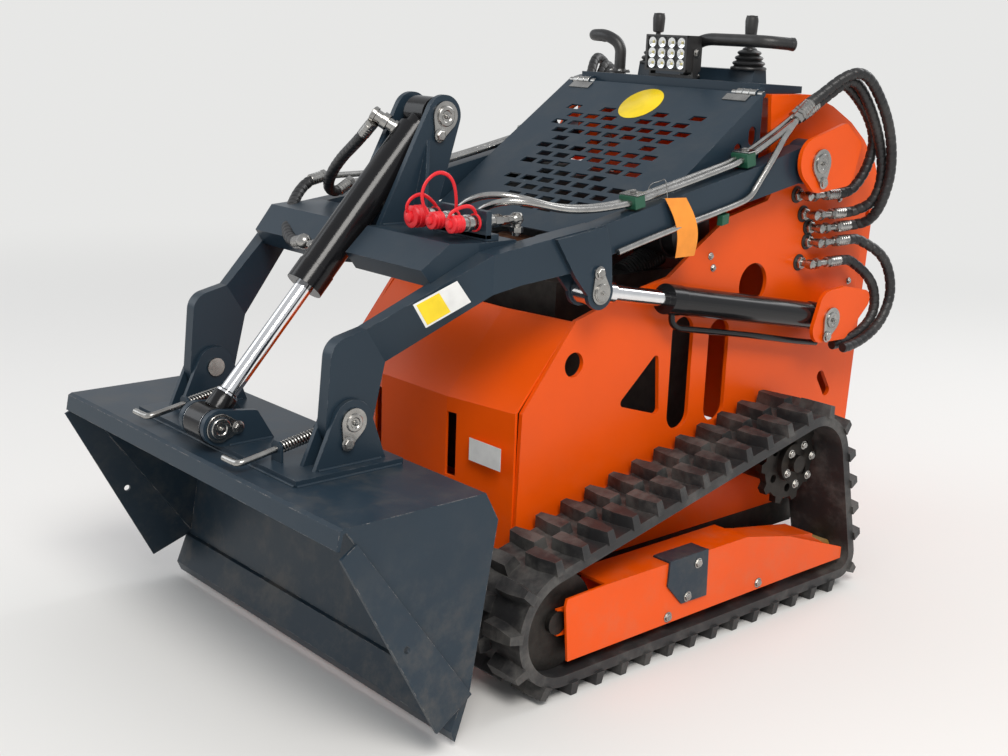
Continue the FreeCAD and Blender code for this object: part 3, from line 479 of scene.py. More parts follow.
# Undercarriage covers
# Folded guard plates over the rollers, each with a slate strap folded over its top edge and
# hexagon bolts through to the track frame.
SLATE = rgb(0.018, 0.033, 0.049)
slate_paint = painted("slate_powder_coat", SLATE, rgb(0.10, 0.115, 0.13), roughness=0.27, dust=0.14)
COVER_FACE, COVER_TOP = 480.0, 208.2
STRAP = ((-109, 213), (12, 214), (16, 107), (-65, 108), (-112, 158))
STRAP_T = 5.0
COVER_BOLTS = (
    # along, up, seat off the cover's face
    (-101, 86, 0.1), (199, 88, 0.1), (-48, 121, STRAP_T + 0.2), (-20, 190, STRAP_T + 0.2),
)
strap = slab([(COVER_FACE + 0.2, y, z) for y, z in STRAP], (1, 0, 0), STRAP_T)
fold = slab(sheet((COVER_FACE, COVER_FACE - 44), (-109, COVER_TOP), (12, COVER_TOP)), (0, 0, 1), STRAP_T)
cover_bolts = []
for y, z, seat in COVER_BOLTS:
    cover_bolts += hex_bolt((COVER_FACE + seat, y, z), (1, 0, 0), 9, 6)
for side_name, side in SIDES:
    piece("cover_strap_" + side_name, sided([strap, fold], side), slate_paint, "chassis")
    piece("cover_bolts_" + side_name, sided(cover_bolts, side), zinc, "chassis")


# Tracks, wheels and rollers
# Rubber belts, matt and dusty, on cast wheels: a driven sprocket with its hub cover bolted
# on, an idler at the front and a small one at the back that has lost some of its paint. Behind
# them a dark plate along the foot of each side wall is painted shade for the shaded wall.
tread_rubber = rubber("track_rubber", rgb(0.018, 0.018, 0.019), 0.5, 0.42, 220.0)
casting = metal("dark_casting", rgb(0.07, 0.065, 0.06), 0.5, 0.3, 0.0008, dirt=0.6)
rusty_yellow = painted("rusty_yellow_paint", rgb(0.42, 0.25, 0.06), rgb(0.16, 0.07, 0.03), 0.5, dust=0.6)
dress(tread_rubber, "track_rubber", *both("track"))
dress(casting, "cast_parts", "engine", *both("sprocket", "front_idler"))
dress(rusty_yellow, "wheel_yellow", *both("rear_idler"))
SPROCKET = (366.0, 325.0)
HUB_FACE, HUB_BOLT_RING = 443.0, 46.0
hub_bolts = []
for angle in np.arange(6) * np.pi / 3 + 0.3:
    y, z = SPROCKET[0] + HUB_BOLT_RING * math.cos(angle), SPROCKET[1] + HUB_BOLT_RING * math.sin(angle)
    hub_bolts += hex_bolt((HUB_FACE, y, z), (1, 0, 0), 8, 6)
pair("hub_bolts", hub_bolts, zinc, "chassis")
# Painted shade: a near-black plate standing in for the side wall's shaded lower part seen between the track's
# runs.
SHADE_PLATE_OUTLINE = ((-330, 112), (540, 112), (600, 160), (600, 179), (-330, 179))
SHADE_PLATE_T = 5.8
shade_plate = slab([(WALL_FACE - 6, y, z) for y, z in SHADE_PLATE_OUTLINE], (1, 0, 0), SHADE_PLATE_T)
pair("painted_shade_plate", [shade_plate], casting, "chassis")


# Hood
# A sloped sheet door, powder coated slate, hung on two zinc-plated hinges at its top edge. A
# round yellow plate, left blank, is stuck on above its slots.
dress(slate_paint, "slate_paint", "hood", "cross_member", "console", "quick_attach", *both("arm"))
HOOD_LOW = np.array([0.0, -130.0, 851.0])
UPHILL = unit([0.0, 430.0, 301.0])
HOOD_NORMAL = np.cross((1.0, 0.0, 0.0), UPHILL)


def on_hood(x, along):
    """Places on the hood's outer face, x across and the given way up its slope."""
    x, along = np.broadcast_arrays(np.asarray(x, float), along)
    return HOOD_LOW + x[..., None] * np.array([1.0, 0.0, 0.0]) + along[..., None] * UPHILL


def enamel(name, colour, roughness=0.25):
    """Plain printed or moulded colour with faint fading and a fine texture."""
    made = Finish(name)
    cloud = made.noise(22.0, 5.0)
    shade = made.blend(cloud.above(0.35, 0.75), colour, darker(colour, 0.86))
    return made.surface(Base_Color=shade, Roughness=roughness + 0.12 * cloud,
                        Normal=made.bump(made.noise(300.0, 2.0), 0.0002, 0.2))


sign_yellow = enamel("sign_yellow", rgb(0.92, 0.66, 0.01))
sign_white = enamel("sign_white", rgb(0.78, 0.78, 0.76))
SIGN_X, SIGN_ALONG, SIGN_RADIUS = -2.3, 453.3, 56.5
turn = np.arange(64) * np.pi / 32
sign = on_hood(SIGN_X + SIGN_RADIUS * np.cos(turn), SIGN_ALONG + SIGN_RADIUS * np.sin(turn))
piece("blank_oval_sign", [slab(sign, HOOD_NORMAL, 1.2, 0.4)], sign_yellow, "hood", crease=60)

HINGE = (304.0, 1150.0)
LEAF_ALONG, LEAF_X = (492.0, 514.0), (212.0, 278.0)
PIN_RADIUS, PIN_ENDS_X = 6.9, ((216.5, 231.2), (288.8, 303.5))
KNUCKLE_RADIUS, KNUCKLES_X = 10.6, ((232.6, 249.6), (250.4, 268.6), (269.4, 287.4))


def knuckles(side, spans, radius, rim):
    """Turned lengths on the hinge's axis, each from x0 to x1, with rims drawn in over 1 mm."""
    return [lathe((side * x0, *HINGE), (side, 0, 0), [(0, radius - rim), (1, radius), (x1 - x0 - 1, radius),
                                                      (x1 - x0, radius - rim)]) for x0, x1 in spans]


hood_steel, deck_steel = [], []
for side_name, side in SIDES:
    leaf = on_hood(side * np.array([*LEAF_X, *LEAF_X[::-1]]), np.repeat(LEAF_ALONG, 2))
    hood_steel += [slab(leaf, HOOD_NORMAL, 3.0, 0.7)] + knuckles(side, PIN_ENDS_X, PIN_RADIUS, 1.4)
    deck_steel += knuckles(side, KNUCKLES_X, KNUCKLE_RADIUS, 1.2)
piece("hood_hinge_leaves", hood_steel, zinc, "hood")
piece("deck_hinge_barrels", deck_steel, zinc, "chassis")


# Console: hand rests, levers and lamp
# Bent tubes with black grips, two levers in ribbed rubber boots, and a square lamp with
# twelve reflectors behind a clear cover and cooling fins at its back, all bolted to the deck.
dress(grained_plastic, "black_plastic", "handlebars", "control_levers")
dress(grained_plastic, "lamp_housing", "work_lamp")
BOOT_BASE, STICK_Y, STICK_TOP = 1196.3, 434.0, 1318.0
STICKS_X = (150.0, -138.0)
BELLOWS = [(0, 41), (3, 42), (6, 41), (9, 33), (12, 37), (15, 38), (18, 36), (21, 28.5), (24, 32), (27, 33),
           (30, 31), (33, 23.5), (36, 27), (39, 28), (42, 25), (45, 17), (48, 16), (52, 9)]
KNOB = [(-46, 7), (-45, 11), (-43, 13.4), (-30, 14.3), (-12, 15.2), (-4, 13.8), (-0.5, 9), (0.8, 4)]
STOP_RING = [(62, 8), (63, 11), (67, 11), (68, 8)]
controls = []
for x in STICKS_X:
    controls += [lathe((x, STICK_Y, BOOT_BASE), (0, 0, 1), BELLOWS, 36),
                 lathe((x, STICK_Y, STICK_TOP), (0, 0, 1), KNOB, 32),
                 lathe((x, STICK_Y, BOOT_BASE), (0, 0, 1), STOP_RING, 24)]
piece("lever_boots_and_grips", controls, grained_plastic, "chassis")

POSTS = ((8.0, 392.0, 1172.0), (-222.0, 392.0, 1172.0))
POST_BOLT_RING = 20.5
GRIP_END = [(-2, 14.6), (6, 15.2), (9, 13), (10, 8)]
GRIP_TIPS = (
    # place, direction
    ((262, 440, 1258), (32, 56, -4)), ((-330, 440, 1258), (-10, 56, -2)),
)
rests = [lathe(post, (0, 0, 1), [(0, 26), (3, 26), (4, 24.5), (4.2, 17), (9, 15)], 32) for post in POSTS]
rests += [lathe(tip, way, GRIP_END, 24) for tip, way in GRIP_TIPS]
piece("hand_rest_collars", rests, grained_plastic, "chassis")
post_bolts = []
for x, y, z in POSTS:
    for angle in (0.7, 2.3, 3.9, 5.5):
        across, along = POST_BOLT_RING * math.cos(angle), POST_BOLT_RING * math.sin(angle)
        post_bolts += hex_bolt((x + across, y + along, z + 3), (0, 0, 1), 4.2, 4)
piece("hand_rest_bolts", post_bolts, zinc, "chassis")

LAMP_LEFT, LAMP_RIGHT, LAMP_FOOT, LAMP_HEAD = -66.0, 62.0, 1186.0, 1268.0
LAMP_FACE, LAMP_BACK = 322.0, 366.0
DISH = [(0, 11.6), (4.6, 11.6), (4.6, 10.9), (1.2, 4.2)]
DIODE = [(0, 3.4), (1.2, 3.2), (2.0, 2.0)]
reflector = metal("mirror_reflector", rgb(0.90, 0.90, 0.88), 0.06, 0.05, 0.00002, dirt=0.02)
dishes, diodes = [], []
for x in LAMP_LEFT + 19 + 30 * np.arange(4):
    for z in LAMP_FOOT + 17 + 24 * np.arange(3):
        dishes.append(lathe((x, LAMP_FACE - 0.2, z), (0, -1, 0), DISH, 20))
        diodes.append(lathe((x, LAMP_FACE - 1.5, z), (0, -1, 0), DIODE, 12))
piece("lamp_reflectors", dishes, reflector, "chassis", crease=50)
piece("lamp_diodes", diodes, enamel("diode_yellow", rgb(0.85, 0.75, 0.35), 0.2), "chassis")
RIM_BARS = (
    # x from, x to, z from, z to, depth
    (LAMP_LEFT, LAMP_RIGHT, LAMP_FOOT, LAMP_FOOT + 4.5, 8.0),
    (LAMP_LEFT, LAMP_RIGHT, LAMP_HEAD - 4.5, LAMP_HEAD, 8.0),
    (LAMP_LEFT, LAMP_LEFT + 6.5, LAMP_FOOT, LAMP_HEAD, 7.6),
    (LAMP_RIGHT - 6.5, LAMP_RIGHT, LAMP_FOOT, LAMP_HEAD, 7.6),
)
FIN_T, FIN_PITCH, FIN_DEPTH = 2.5, 11.0, 12.0
rim = [slab(sheet((x0, x1), (LAMP_FACE, z0), (LAMP_FACE, z1)), (0, -1, 0), depth, 0.8)
       for x0, x1, z0, z1, depth in RIM_BARS]
for x in np.arange(LAMP_LEFT + 8, LAMP_RIGHT - 4, FIN_PITCH):
    fin = sheet((x, x + FIN_T), (LAMP_BACK, LAMP_FOOT + 4), (LAMP_BACK, LAMP_HEAD - 4))
    rim.append(slab(fin, (0, 1, 0), FIN_DEPTH, 0.5))
piece("lamp_rim_and_fins", rim, grained_plastic, "chassis")
clear = Finish("clear_cover")
haze = clear.noise(40.0, 4.0)
tint = clear.blend(haze, rgb(0.93, 0.94, 0.95), rgb(1, 1, 1))
pane = clear.surface(Base_Color=tint, Roughness=0.04 + 0.06 * haze, Transmission_Weight=1.0, IOR=1.2,
                     Normal=clear.bump(haze, 0.0001, 0.1))
PANE_Y = LAMP_FACE - 5.2
cover = sheet((LAMP_LEFT + 6, LAMP_RIGHT - 6), (PANE_Y, LAMP_FOOT + 4), (PANE_Y, LAMP_HEAD - 4))
piece("lamp_cover", [slab(cover, (0, -1, 0), 1.4, 0.4)], pane, "chassis")
lamp_bolts = [shape for x, away in ((LAMP_RIGHT + 5, 1), (LAMP_LEFT - 5, -1))
              for shape in hex_bolt((x, 345, 1229), (away, 0, 0), 8, 6)]
piece("lamp_bolts", lamp_bolts, zinc, "chassis")


# Arms and cross member
# Welded box arms in slate powder coat. A blank two-coloured plate is stuck on the left arm's
# outer face and a smaller white one on the body's front corner.
ARM_OUT = 366.0
ARM_PLATE = np.array([(-706, 800), (-607, 833), (-573, 791), (-676, 755)], float)
arm_plate = np.column_stack([np.full(4, ARM_OUT + 0.1), ARM_PLATE])
piece("blank_arm_plate", [slab(arm_plate, (1, 0, 0), 0.8, 0.3)], sign_white, "lift_arms")
FIELD = np.array([(0.05, 0.07), (0.56, 0.07), (0.56, 0.93), (0.05, 0.93)])
across, up = FIELD[:, :1], FIELD[:, 1:]
yellow_part = ((1 - up) * ((1 - across) * ARM_PLATE[0] + across * ARM_PLATE[1])
               + up * ((1 - across) * ARM_PLATE[3] + across * ARM_PLATE[2]))
field = np.column_stack([np.full(4, ARM_OUT + 0.7), yellow_part])
piece("arm_plate_field", [slab(field, (1, 0, 0), 0.7, 0.3)], sign_yellow, "lift_arms")
FRONT_FACE = -414.0
front_plate = sheet((188, 286), (FRONT_FACE - 0.1, 414), (FRONT_FACE - 0.1, 462))
piece("blank_front_plate", [slab(front_plate, (0, -1, 0), 0.8, 0.3)], sign_white, "chassis")


# Pins and keepers
# Zinc-plated pins, each with a greasing nipple in a turned recess and a drop-shaped keeper
# plate under one hexagon bolt.
dress(zinc, "zinc", "tilt_top_pin", "coupler_block",
      *both("chassis_pins", "hose_fittings", "arm_front_pins", "lock_handle"))


def pin_end(place, radius):
    """Chamfered rim, recess and greasing nipple, turned about a line across the machine."""
    profile = [(-1, radius - 0.2), (1.4, radius - 0.6), (2.6, radius - 2.4), (2.6, radius * 0.6),
               (1.0, radius * 0.5), (1.0, 5.2), (4.5, 4.6), (5, 3.2), (8, 3.0), (8.6, 2.0)]
    return lathe(place, (1, 0, 0), profile, 32)


KEPT = (
    # name, body, pin's end, radius, seat of the keeper's bolt
    ("arm_pivot", "chassis", (394.0, 418.0, 1004.0), 22, (393.1, 427.1, 961.0)),
    ("lift_base", "chassis", (394.0, 513.0, 638.0), 19, (393.1, 497.0, 600.2)),
    ("lift_eye", "lift_arms", (380.2, -249.0, 777.0), 19, (380.1, -257.3, 817.2)),
    ("bucket_pivot", "lift_arms", (274.6, -762.0, 572.0), 18, (274.6, -776.5, 534.7)),
)
for name, body, place, radius, bolt in KEPT:
    shapes = [pin_end(place, radius)] + hex_bolt(bolt, (1, 0, 0), 10.5, 7)
    pair(name + "_end", shapes, zinc, body)
top_pin = [pin_end((64.2, -395, 1097), 21)] + hex_bolt((63.1, -409, 1059.5), (1, 0, 0), 10.5, 7)
piece("tilt_top_pin_end", top_pin, zinc, "lift_arms")


# Steel tubes on the arms
# Zinc-plated hydraulic tubes in green clamps with steel lids, two on top of each arm and one on
# its outer side. Those on the left rise in an S-bend to the couplers. A blank card tag hangs on
# them by a loop of wire.
def flowing(points, step=4.0):
    """Evenly spaced points of the NURBS line that the given points steer, and how far along each is."""
    curve = bpy.data.curves.new("line", "CURVE")
    curve.dimensions = "3D"
    curve.resolution_u = 14
    spline = curve.splines.new("NURBS")
    spline.points.add(len(points) - 1)
    spline.points.foreach_set("co", np.column_stack([points, np.ones(len(points))]).ravel())
    spline.order_u = 3
    spline.use_endpoint_u = True
    holder = bpy.data.objects.new("line", curve)
    mesh = bpy.data.meshes.new_from_object(holder)
    line = np.empty(len(mesh.vertices) * 3)
    mesh.vertices.foreach_get("co", line)
    line = line.reshape(-1, 3)
    bpy.data.meshes.remove(mesh)
    bpy.data.objects.remove(holder)
    bpy.data.curves.remove(curve)
    run = np.r_[0, np.cumsum(np.linalg.norm(np.diff(line, axis=0), axis=1))]
    even = np.linspace(0, run[-1], max(int(run[-1] / step), 2) + 1)
    return np.stack([np.interp(even, run, line[:, k]) for k in range(3)], 1), even


def carried(line, section, across=(1, 0, 0)):
    """The section, around x 2 or rings x around x 2, set square to the line at each point."""
    way = unit(np.gradient(line, axis=0))
    side = unit(np.cross(way, across))
    up = np.cross(side, way)
    section = np.broadcast_to(section, (len(line), *np.shape(section)[-2:]))
    return line[:, None] + section[..., :1] * side[:, None] + section[..., 1:] * up[:, None]


def circle(radius, around=16):
    """Points evenly spaced on a circle."""
    angle = np.arange(around) * 2 * np.pi / around
    return radius * np.stack([np.cos(angle), np.sin(angle)], 1)


def crimp(place, way, start, length):
    """Swaged collar of a hose, turned with five ribs."""
    ribs = [(start, 9.5)]
    for rib in start + np.arange(5) * length / 5:
        ribs += [(rib + 2, 13.0), (rib + 5, 13.0), (rib + 6, 12.2), (rib + 1 + length / 5, 12.2)]
    ribs[-1] = (start + length, 12.0)
    return lathe(place, way, ribs, 24)


pipe_steel = metal("plated_tube", rgb(0.50, 0.49, 0.47), 0.16, 0.25, 0.00004, dirt=0.2)
clamp_green = enamel("clamp_green", rgb(0.012, 0.085, 0.045), 0.4)
dress(pipe_steel, "zinc", *both("arm_tubes"))
TUBE_R = 7.0
INNER_X, OUTER_X = 330, 352


def along_arm(x, *bends):
    """Points of a tube at x on top of the arm, from its rear end, and then its bends."""
    return [(x, 392, 1110), (x, 225, 1022), (x, 71, 988), (x, -60, 961), *bends]


SIDE_PIPE = [(374, -205, 853), (374, -60, 886), (374, 150, 925), (374, 196, 940), (374, 214, 962),
             (373, 276, 1032), (357, 326, 1070), (353, 372, 1106)]
PIPES = {
    "left": [along_arm(INNER_X, (330, -137, 945), (326, -200, 938), (318, -262, 936), (306, -320, 941),
                       (290, -370, 955), (268, -405, 963), (236, -430, 962), (204, -447, 950),
                       (184, -456, 932), (180, -468, 922)),
             along_arm(OUTER_X, (352, -137, 945), (348, -200, 938), (342, -262, 935), (334, -318, 938),
                       (322, -372, 950), (306, -408, 957), (284, -432, 955), (256, -448, 944),
                       (240, -456, 930), (238, -468, 922)),
             SIDE_PIPE],
    "right": [along_arm(INNER_X, (330, -200, 934), (330, -300, 925), (330, -350, 921)),
              along_arm(OUTER_X, (352, -200, 938), (352, -320, 936), (352, -408, 935)),
              SIDE_PIPE],
}
for side_name, side in SIDES:
    tubes = [carried(flowing(points, 6.0)[0], circle(TUBE_R)) for points in PIPES[side_name]]
    pipes = piece("arm_pipes_" + side_name, sided(tubes, side), pipe_steel, "lift_arms")
    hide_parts("arm_tubes_" + side_name)
TOP_WAY, SIDE_WAY = (0.0, 0.885, 0.466), (0.03, 0.787, 0.617)
NUT = [(-14, 8), (-13, 13), (-1, 13), (0, 11.5)]
SWIVEL_NUT = [(0.5, 12), (1.5, 14), (9, 14), (10, 11)]
nuts = []
ENDS = ((along_arm(INNER_X)[0], TOP_WAY), (along_arm(OUTER_X)[0], TOP_WAY), (SIDE_PIPE[-1], SIDE_WAY))
for end, way in ENDS:
    nuts += [lathe(end, way, NUT, 6), lathe(end, way, SWIVEL_NUT, 6), crimp(end, way, 8, 36)]
pair("tube_nuts", nuts, zinc, "lift_arms", crease=25)
CLAMPS = (
    # its low edge, then the top of its high edge, each (along, up)
    ((-150, 932), (-124, 958)), ((190, 1000.6), (216, 1030.6)),
)
CLAMP_UP = (0, -0.19, 0.98)
SIDE_CLAMP = ((100, 885), (121, 889), (121, 910), (100, 906))
blocks = [slab([(ARM_OUT + 0.4, y, z) for y, z in SIDE_CLAMP], (1, 0, 0), 16, 1.5)]
lids = []
for (y0, z0), (y1, z1) in CLAMPS:
    foot = sheet((322.2, ARM_OUT + 0.2), (y0 - 0.8, z0 - 1), (y1 + 0.8, z0 + 4))
    blocks.append(slab(foot, CLAMP_UP, z1 - z0 + 1, 2.0))
    lids.append(slab(sheet((319, ARM_OUT + 2), (y0 - 3, z1), (y1 + 3, z1 + 5)), CLAMP_UP, 3.0, 0.8))
    lids += hex_bolt((343, (y0 + y1) / 2, z1 + 5), CLAMP_UP, 7.5, 6)
for side_name, side in SIDES:
    piece("tube_clamps_" + side_name, sided(blocks, side), clamp_green, "lift_arms")
    piece("clamp_lids_" + side_name, sided(lids, side), zinc, "lift_arms")

TAG = np.array([(373, -75, 952), (373, -11, 950), (373, 27, 827), (373, -32, 827)], float)
HALF_CARD = np.array([0.5, 0.0, 0.0])
down = np.linspace(0, 1, 14)[:, None]
curl = np.sin(np.pi * down)
front_edge = TAG[0] + (TAG[3] - TAG[0]) * down + curl * [7.0, 12.0, 0.0]
rear_edge = TAG[1] + (TAG[2] - TAG[1]) * down + curl * [9.0, 12.0, 0.0]
card = np.stack([front_edge - HALF_CARD, rear_edge - HALF_CARD,
                 rear_edge + HALF_CARD, front_edge + HALF_CARD], 1)
tag_card = enamel("tag_card", rgb(0.90, 0.30, 0.03), 0.6)
piece("hang_tag", [card], tag_card, "lift_arms", crease=60)
WIRE = [(372, -66, 940), (373, -68, 955), (370, -70, 980), (362, -66, 990), (345, -62, 982),
        (322, -62, 976), (316, -66, 960), (326, -70, 950), (352, -72, 946), (366, -70, 952), (371, -66, 948)]
piece("tag_wire", [carried(flowing(WIRE, 3.0)[0], circle(1.0, 8), (0, 1, 0))], zinc, "lift_arms")


# Quick couplers
# Three steel couplers in a plate on the cross member. Each has a ribbed red rubber cap on a
# strap, whose ring sits round the coupler's body.
cap_red = enamel("cap_red", rgb(0.72, 0.012, 0.02), 0.38)
COUPLER_Y, COUPLER_Z = -560.0, 922.0
COUPLERS_X = (180.0, 238.0, 296.0)
CAP = [(-16, 14.6), (-15, 16.5), (-10, 16.5), (-9, 15.6), (-6, 15.6), (-5, 16.5), (0, 16.5), (1, 15.6),
       (4, 15.6), (5, 16.3), (8, 16.3), (10, 13.5), (10, 8.5), (14, 7.8), (16, 5)]
BIG_CAP = [(d * 1.25, r * 1.3) for d, r in CAP]
STRAPS = (
    [(180, -508, 937), (182, -520, 950), (184, -548, 966), (184, -575, 958), (182, -584, 940),
     (180, -578, 932)],
    [(238, -508, 937), (240, -508, 962), (242, -522, 1002), (240, -556, 1014), (238, -588, 990),
     (237, -590, 955), (238, -576, 934)],
    [(296, -508, 938), (300, -516, 950), (302, -536, 956), (300, -560, 950), (298, -574, 940),
     (296, -572, 934)],
)
CAP_RING = [(0, 14.2), (0, 17.2), (4, 17.2), (4, 14.2)]
SLEEVE_RIM = [(0, 14.2), (1, 16), (9, 16), (10, 14.2)]
LOCK_NUT = [(0, 11.4), (0.5, 15), (9, 15), (10, 12), (12, 11.4)]
covers, couplers = [], []
for x, shape, strap in zip(COUPLERS_X, (BIG_CAP, CAP, CAP), STRAPS):
    covers += [lathe((x, COUPLER_Y, COUPLER_Z), (0, -1, 0), shape, 36),
               (lathe((x, -512, COUPLER_Z), (0, 1, 0), CAP_RING, 36),),
               carried(flowing(strap, 3.0)[0], circle(1.0, 12) * [3.6, 1.9])]
    couplers += [lathe((x, -524, COUPLER_Z), (0, -1, 0), SLEEVE_RIM, 36),
                 lathe((x, -488, COUPLER_Z), (0, 1, 0), LOCK_NUT, 6)]
piece("coupler_caps", covers, cap_red, "lift_arms", crease=40)
ELBOW_PARTS = (
    # along, up, axis, profile, facets
    (-466, COUPLER_Z, (0, 1, 0), [(-2, 9), (0, 12.5), (18, 12.5), (20, 9), (40, 8.5)], 6),
    (-432, COUPLER_Z, (0, 1, 0), [(0, 8.5), (14, 8.5), (18, 11.5), (30, 12), (37, 8)], 20),
    (-405, COUPLER_Z, (0, 0, -1), [(-12, 8), (-8, 11.5), (6, 11.5), (8, 9), (32, 8)], 20),
    (-405, 908, (0, 0, -1), [(0, 10), (1, 13), (11, 13), (12, 10)], 6),
)
couplers += [lathe((COUPLERS_X[2], y, z), axis, profile, steps) for y, z, axis, profile, steps in ELBOW_PARTS]
piece("coupler_steel", couplers, zinc, "lift_arms")
BRACKET_X, BRACKET_FRONT, SHELF_Z = (161.4, 318.6), -500.6, 900.6
bracket = [slab(sheet(BRACKET_X, (BRACKET_FRONT, 893), (BRACKET_FRONT, 944.6)), (0, 1, 0), 13.2),
           slab(sheet(BRACKET_X, (BRACKET_FRONT, SHELF_Z), (-469.4, SHELF_Z)), (0, 0, -1), 12.2)]
piece("coupler_bracket", bracket, slate_paint, "lift_arms")


# Hose fittings at the rear corner
# Elbows through rubber grommets in the side wall, with a nut, a ball bend and a swaged collar
# each.
FITTINGS = ((450, 924), (480, 878), (505, 846), (504, 812), (480, 764))
FITTING_X = 340.0
GROMMET = [(0, 13.8), (0, 19.5), (2.6, 19.5), (3.6, 18), (3.6, 13.8)]
ELBOW_TURNED = (
    # x, axis, profile, facets
    (318, (1, 0, 0), [(-9, 12), (-8, 14.6), (-1, 14.6), (1, 12)], 6),
    (329, (1, 0, 0), [(0, 8), (3, 10.5), (11, 11.4), (19, 10.5), (22, 6)], 20),
    (FITTING_X, (0, 1, 0), [(14, 8.2), (15, 13), (27, 13), (28, 8.2)], 6),
    (FITTING_X, (0, 1, 0), [(56, 8.2), (57, 12), (68, 12), (69, 8.2)], 6),
)
grommet_rubber = rubber("grommet_rubber", rgb(0.012, 0.012, 0.012), 0.5, 0.15, 500.0)
elbows, grommets = [], []
for y, z in FITTINGS:
    grommets.append((lathe((WALL_FACE + 0.2, y, z), (1, 0, 0), GROMMET, 28),))
    elbows += [lathe((x, y, z), axis, profile, steps) for x, axis, profile, steps in ELBOW_TURNED]
    elbows.append(crimp((FITTING_X, y, z), (0, 1, 0), 70, 42))
for side_name, side in SIDES:
    piece("grommets_" + side_name, sided(grommets, side), grommet_rubber, "chassis")
    piece("elbow_nuts_" + side_name, sided(elbows, side), zinc, "chassis", crease=25)


# Hydraulic hoses
# Rubber hoses in spiral-wound guards. Three on each side loop from the fittings up to the
# arms' tubes, and two run down to the lift cylinder's end.
hose_rubber = rubber("hose_rubber", rgb(0.012, 0.012, 0.013), 0.42, 0.15, 400.0)
dress(hose_rubber, "hose_rubber", *both("hoses"))
HOSE_R = 11.0
GUARD_T, GROOVE, GUARD_PITCH = 1.3, 1.7, 19.0
TO_ARM = (
    [(330, 431, 1131), (338, 462, 1150), (358, 512, 1182), (366, 560, 1150), (368, 612, 1105),
     (368, 648, 1050), (362, 640, 985), (346, 618, 936), (340, 590, 924), (340, 562.3, 924)],
    [(352, 431, 1131), (362, 466, 1155), (386, 508, 1194), (392, 564, 1147), (394, 626, 1059),
     (394, 658, 970), (384, 648, 904), (346, 626, 880), (340, 612, 878), (340, 592.3, 878)],
    [(354, 407, 1134), (364, 432, 1154), (392, 470, 1194), (412, 508, 1206), (418, 557, 1172),
     (420, 626, 1085), (420, 653, 986), (410, 642, 905), (376, 648, 858), (340, 638, 846), (340, 617.3, 846)],
)
DOWNWARD = (
    [(396, 560, 566), (398, 600, 566), (402, 690, 602), (404, 728, 665), (402, 722, 724), (386, 702, 778),
     (342, 660, 811), (340, 636, 812), (340, 616.3, 812)],
    [(368, 556, 568), (370, 590, 570), (373, 644, 582), (376, 696, 614), (376, 710, 656), (374, 686, 716),
     (342, 636, 762), (340, 612, 764), (340, 592.3, 764)],
)
HOSE_NAMES = ("boom", "curl", "return", "lift", "drain")


def guarded(line, run):
    """Hose in its guard: the radius has a groove that winds round once in each pitch."""
    around = 16
    phase = (run[:, None] / GUARD_PITCH + np.arange(around) / around) % 1.0
    radius = HOSE_R + GUARD_T - GROOVE * np.exp(-((phase - 0.5) / 0.10) ** 2)
    radius[:2] = HOSE_R
    radius[-2:] = HOSE_R
    return carried(line, radius[..., None] * circle(1.0, around))


for side_name, side in SIDES:
    hoses = []
    for name, points in zip(HOSE_NAMES, TO_ARM + DOWNWARD):
        line, run = flowing(points[::-1], 2.4)
        shape = sided([guarded(line, run)], side)
        hose = piece(f"hose_{name}_{side_name}", shape, hose_rubber, crease=50)
        path = placed(line * [side, 1, 1])
        if points in TO_ARM:
            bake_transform(hose)
        else:
            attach(hose, "chassis")
        hoses.append(hose)
    for hose in hoses:
        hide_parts("hoses_" + side_name)


# Lift and tilt cylinders
# Black painted barrels and chromed rods. The tilt cylinder is fed by two short hoses from the
# right arm's tubes, one to a banjo at its upper end and one to an elbow near its lower end.
gloss_black = painted("black_gloss_paint", rgb(0.008, 0.008, 0.009), rgb(0.05, 0.05, 0.05), 0.12, dust=0.25)
chrome = metal("chromed_rod", rgb(0.86, 0.86, 0.87), 0.05, 0.05, 0.00002, dirt=0.06)
dress(gloss_black, "black_paint", "tilt_barrel", *both("lift_barrel"))
dress(chrome, "chrome_rod", "tilt_rod", *both("lift_rod"))
TILT_BASE = np.array([0.0, -395.0, 1097.0])
BARREL_WAY = unit((0.0, -513.0, -567.0))
BARREL_FRONT = np.cross(BARREL_WAY, (1.0, 0.0, 0.0))
UPPER_PORT, LOWER_PORT = TILT_BASE + 62 * BARREL_WAY, TILT_BASE + 357 * BARREL_WAY
UPPER_WAY = [-0.65, 0.0, 0.0] + 0.76 * BARREL_FRONT
LOWER_WAY = [-0.93, 0.0, 0.0] + 0.36 * BARREL_FRONT
BOSS = [(33, 16), (40, 16), (41, 13), (52, 13)]
BANJO = [(52, 15), (53, 17), (66, 17), (67, 13), (80, 13), (81, 16), (89, 16), (91, 13)]
ELBOW = [(33, 12), (42, 12), (46, 8), (50, 8), (53, 12), (60, 15.5), (68, 15.5), (75, 11)]
TILT_NUT = [(-8, 9), (-7, 14), (3, 14), (4, 11)]
TILT_CRIMP = 34.0
barrel_parts = [lathe(UPPER_PORT, UPPER_WAY, BOSS, 20), lathe(UPPER_PORT, UPPER_WAY, BANJO, 24),
                lathe(LOWER_PORT, LOWER_WAY, ELBOW, 24)]
arm_parts = []
TILT_HOSES = (
    # name, points from the arm's tube to the port on the barrel
    ("head", [(-330, -350, 921), (-330, -372, 908), (-326, -398, 902), (-305, -428, 919), (-262, -446, 955),
              (-205, -459, 993), (-145, -474, 1022), (-95, -489, 1045), (-62, -486, 1075)]),
    ("rod", [(-352, -408, 935), (-352, -437, 930), (-345, -471, 912), (-310, -514, 888), (-240, -575, 862),
             (-160, -624, 842), (-105, -643, 838), (-66, -650, 846)]),
)
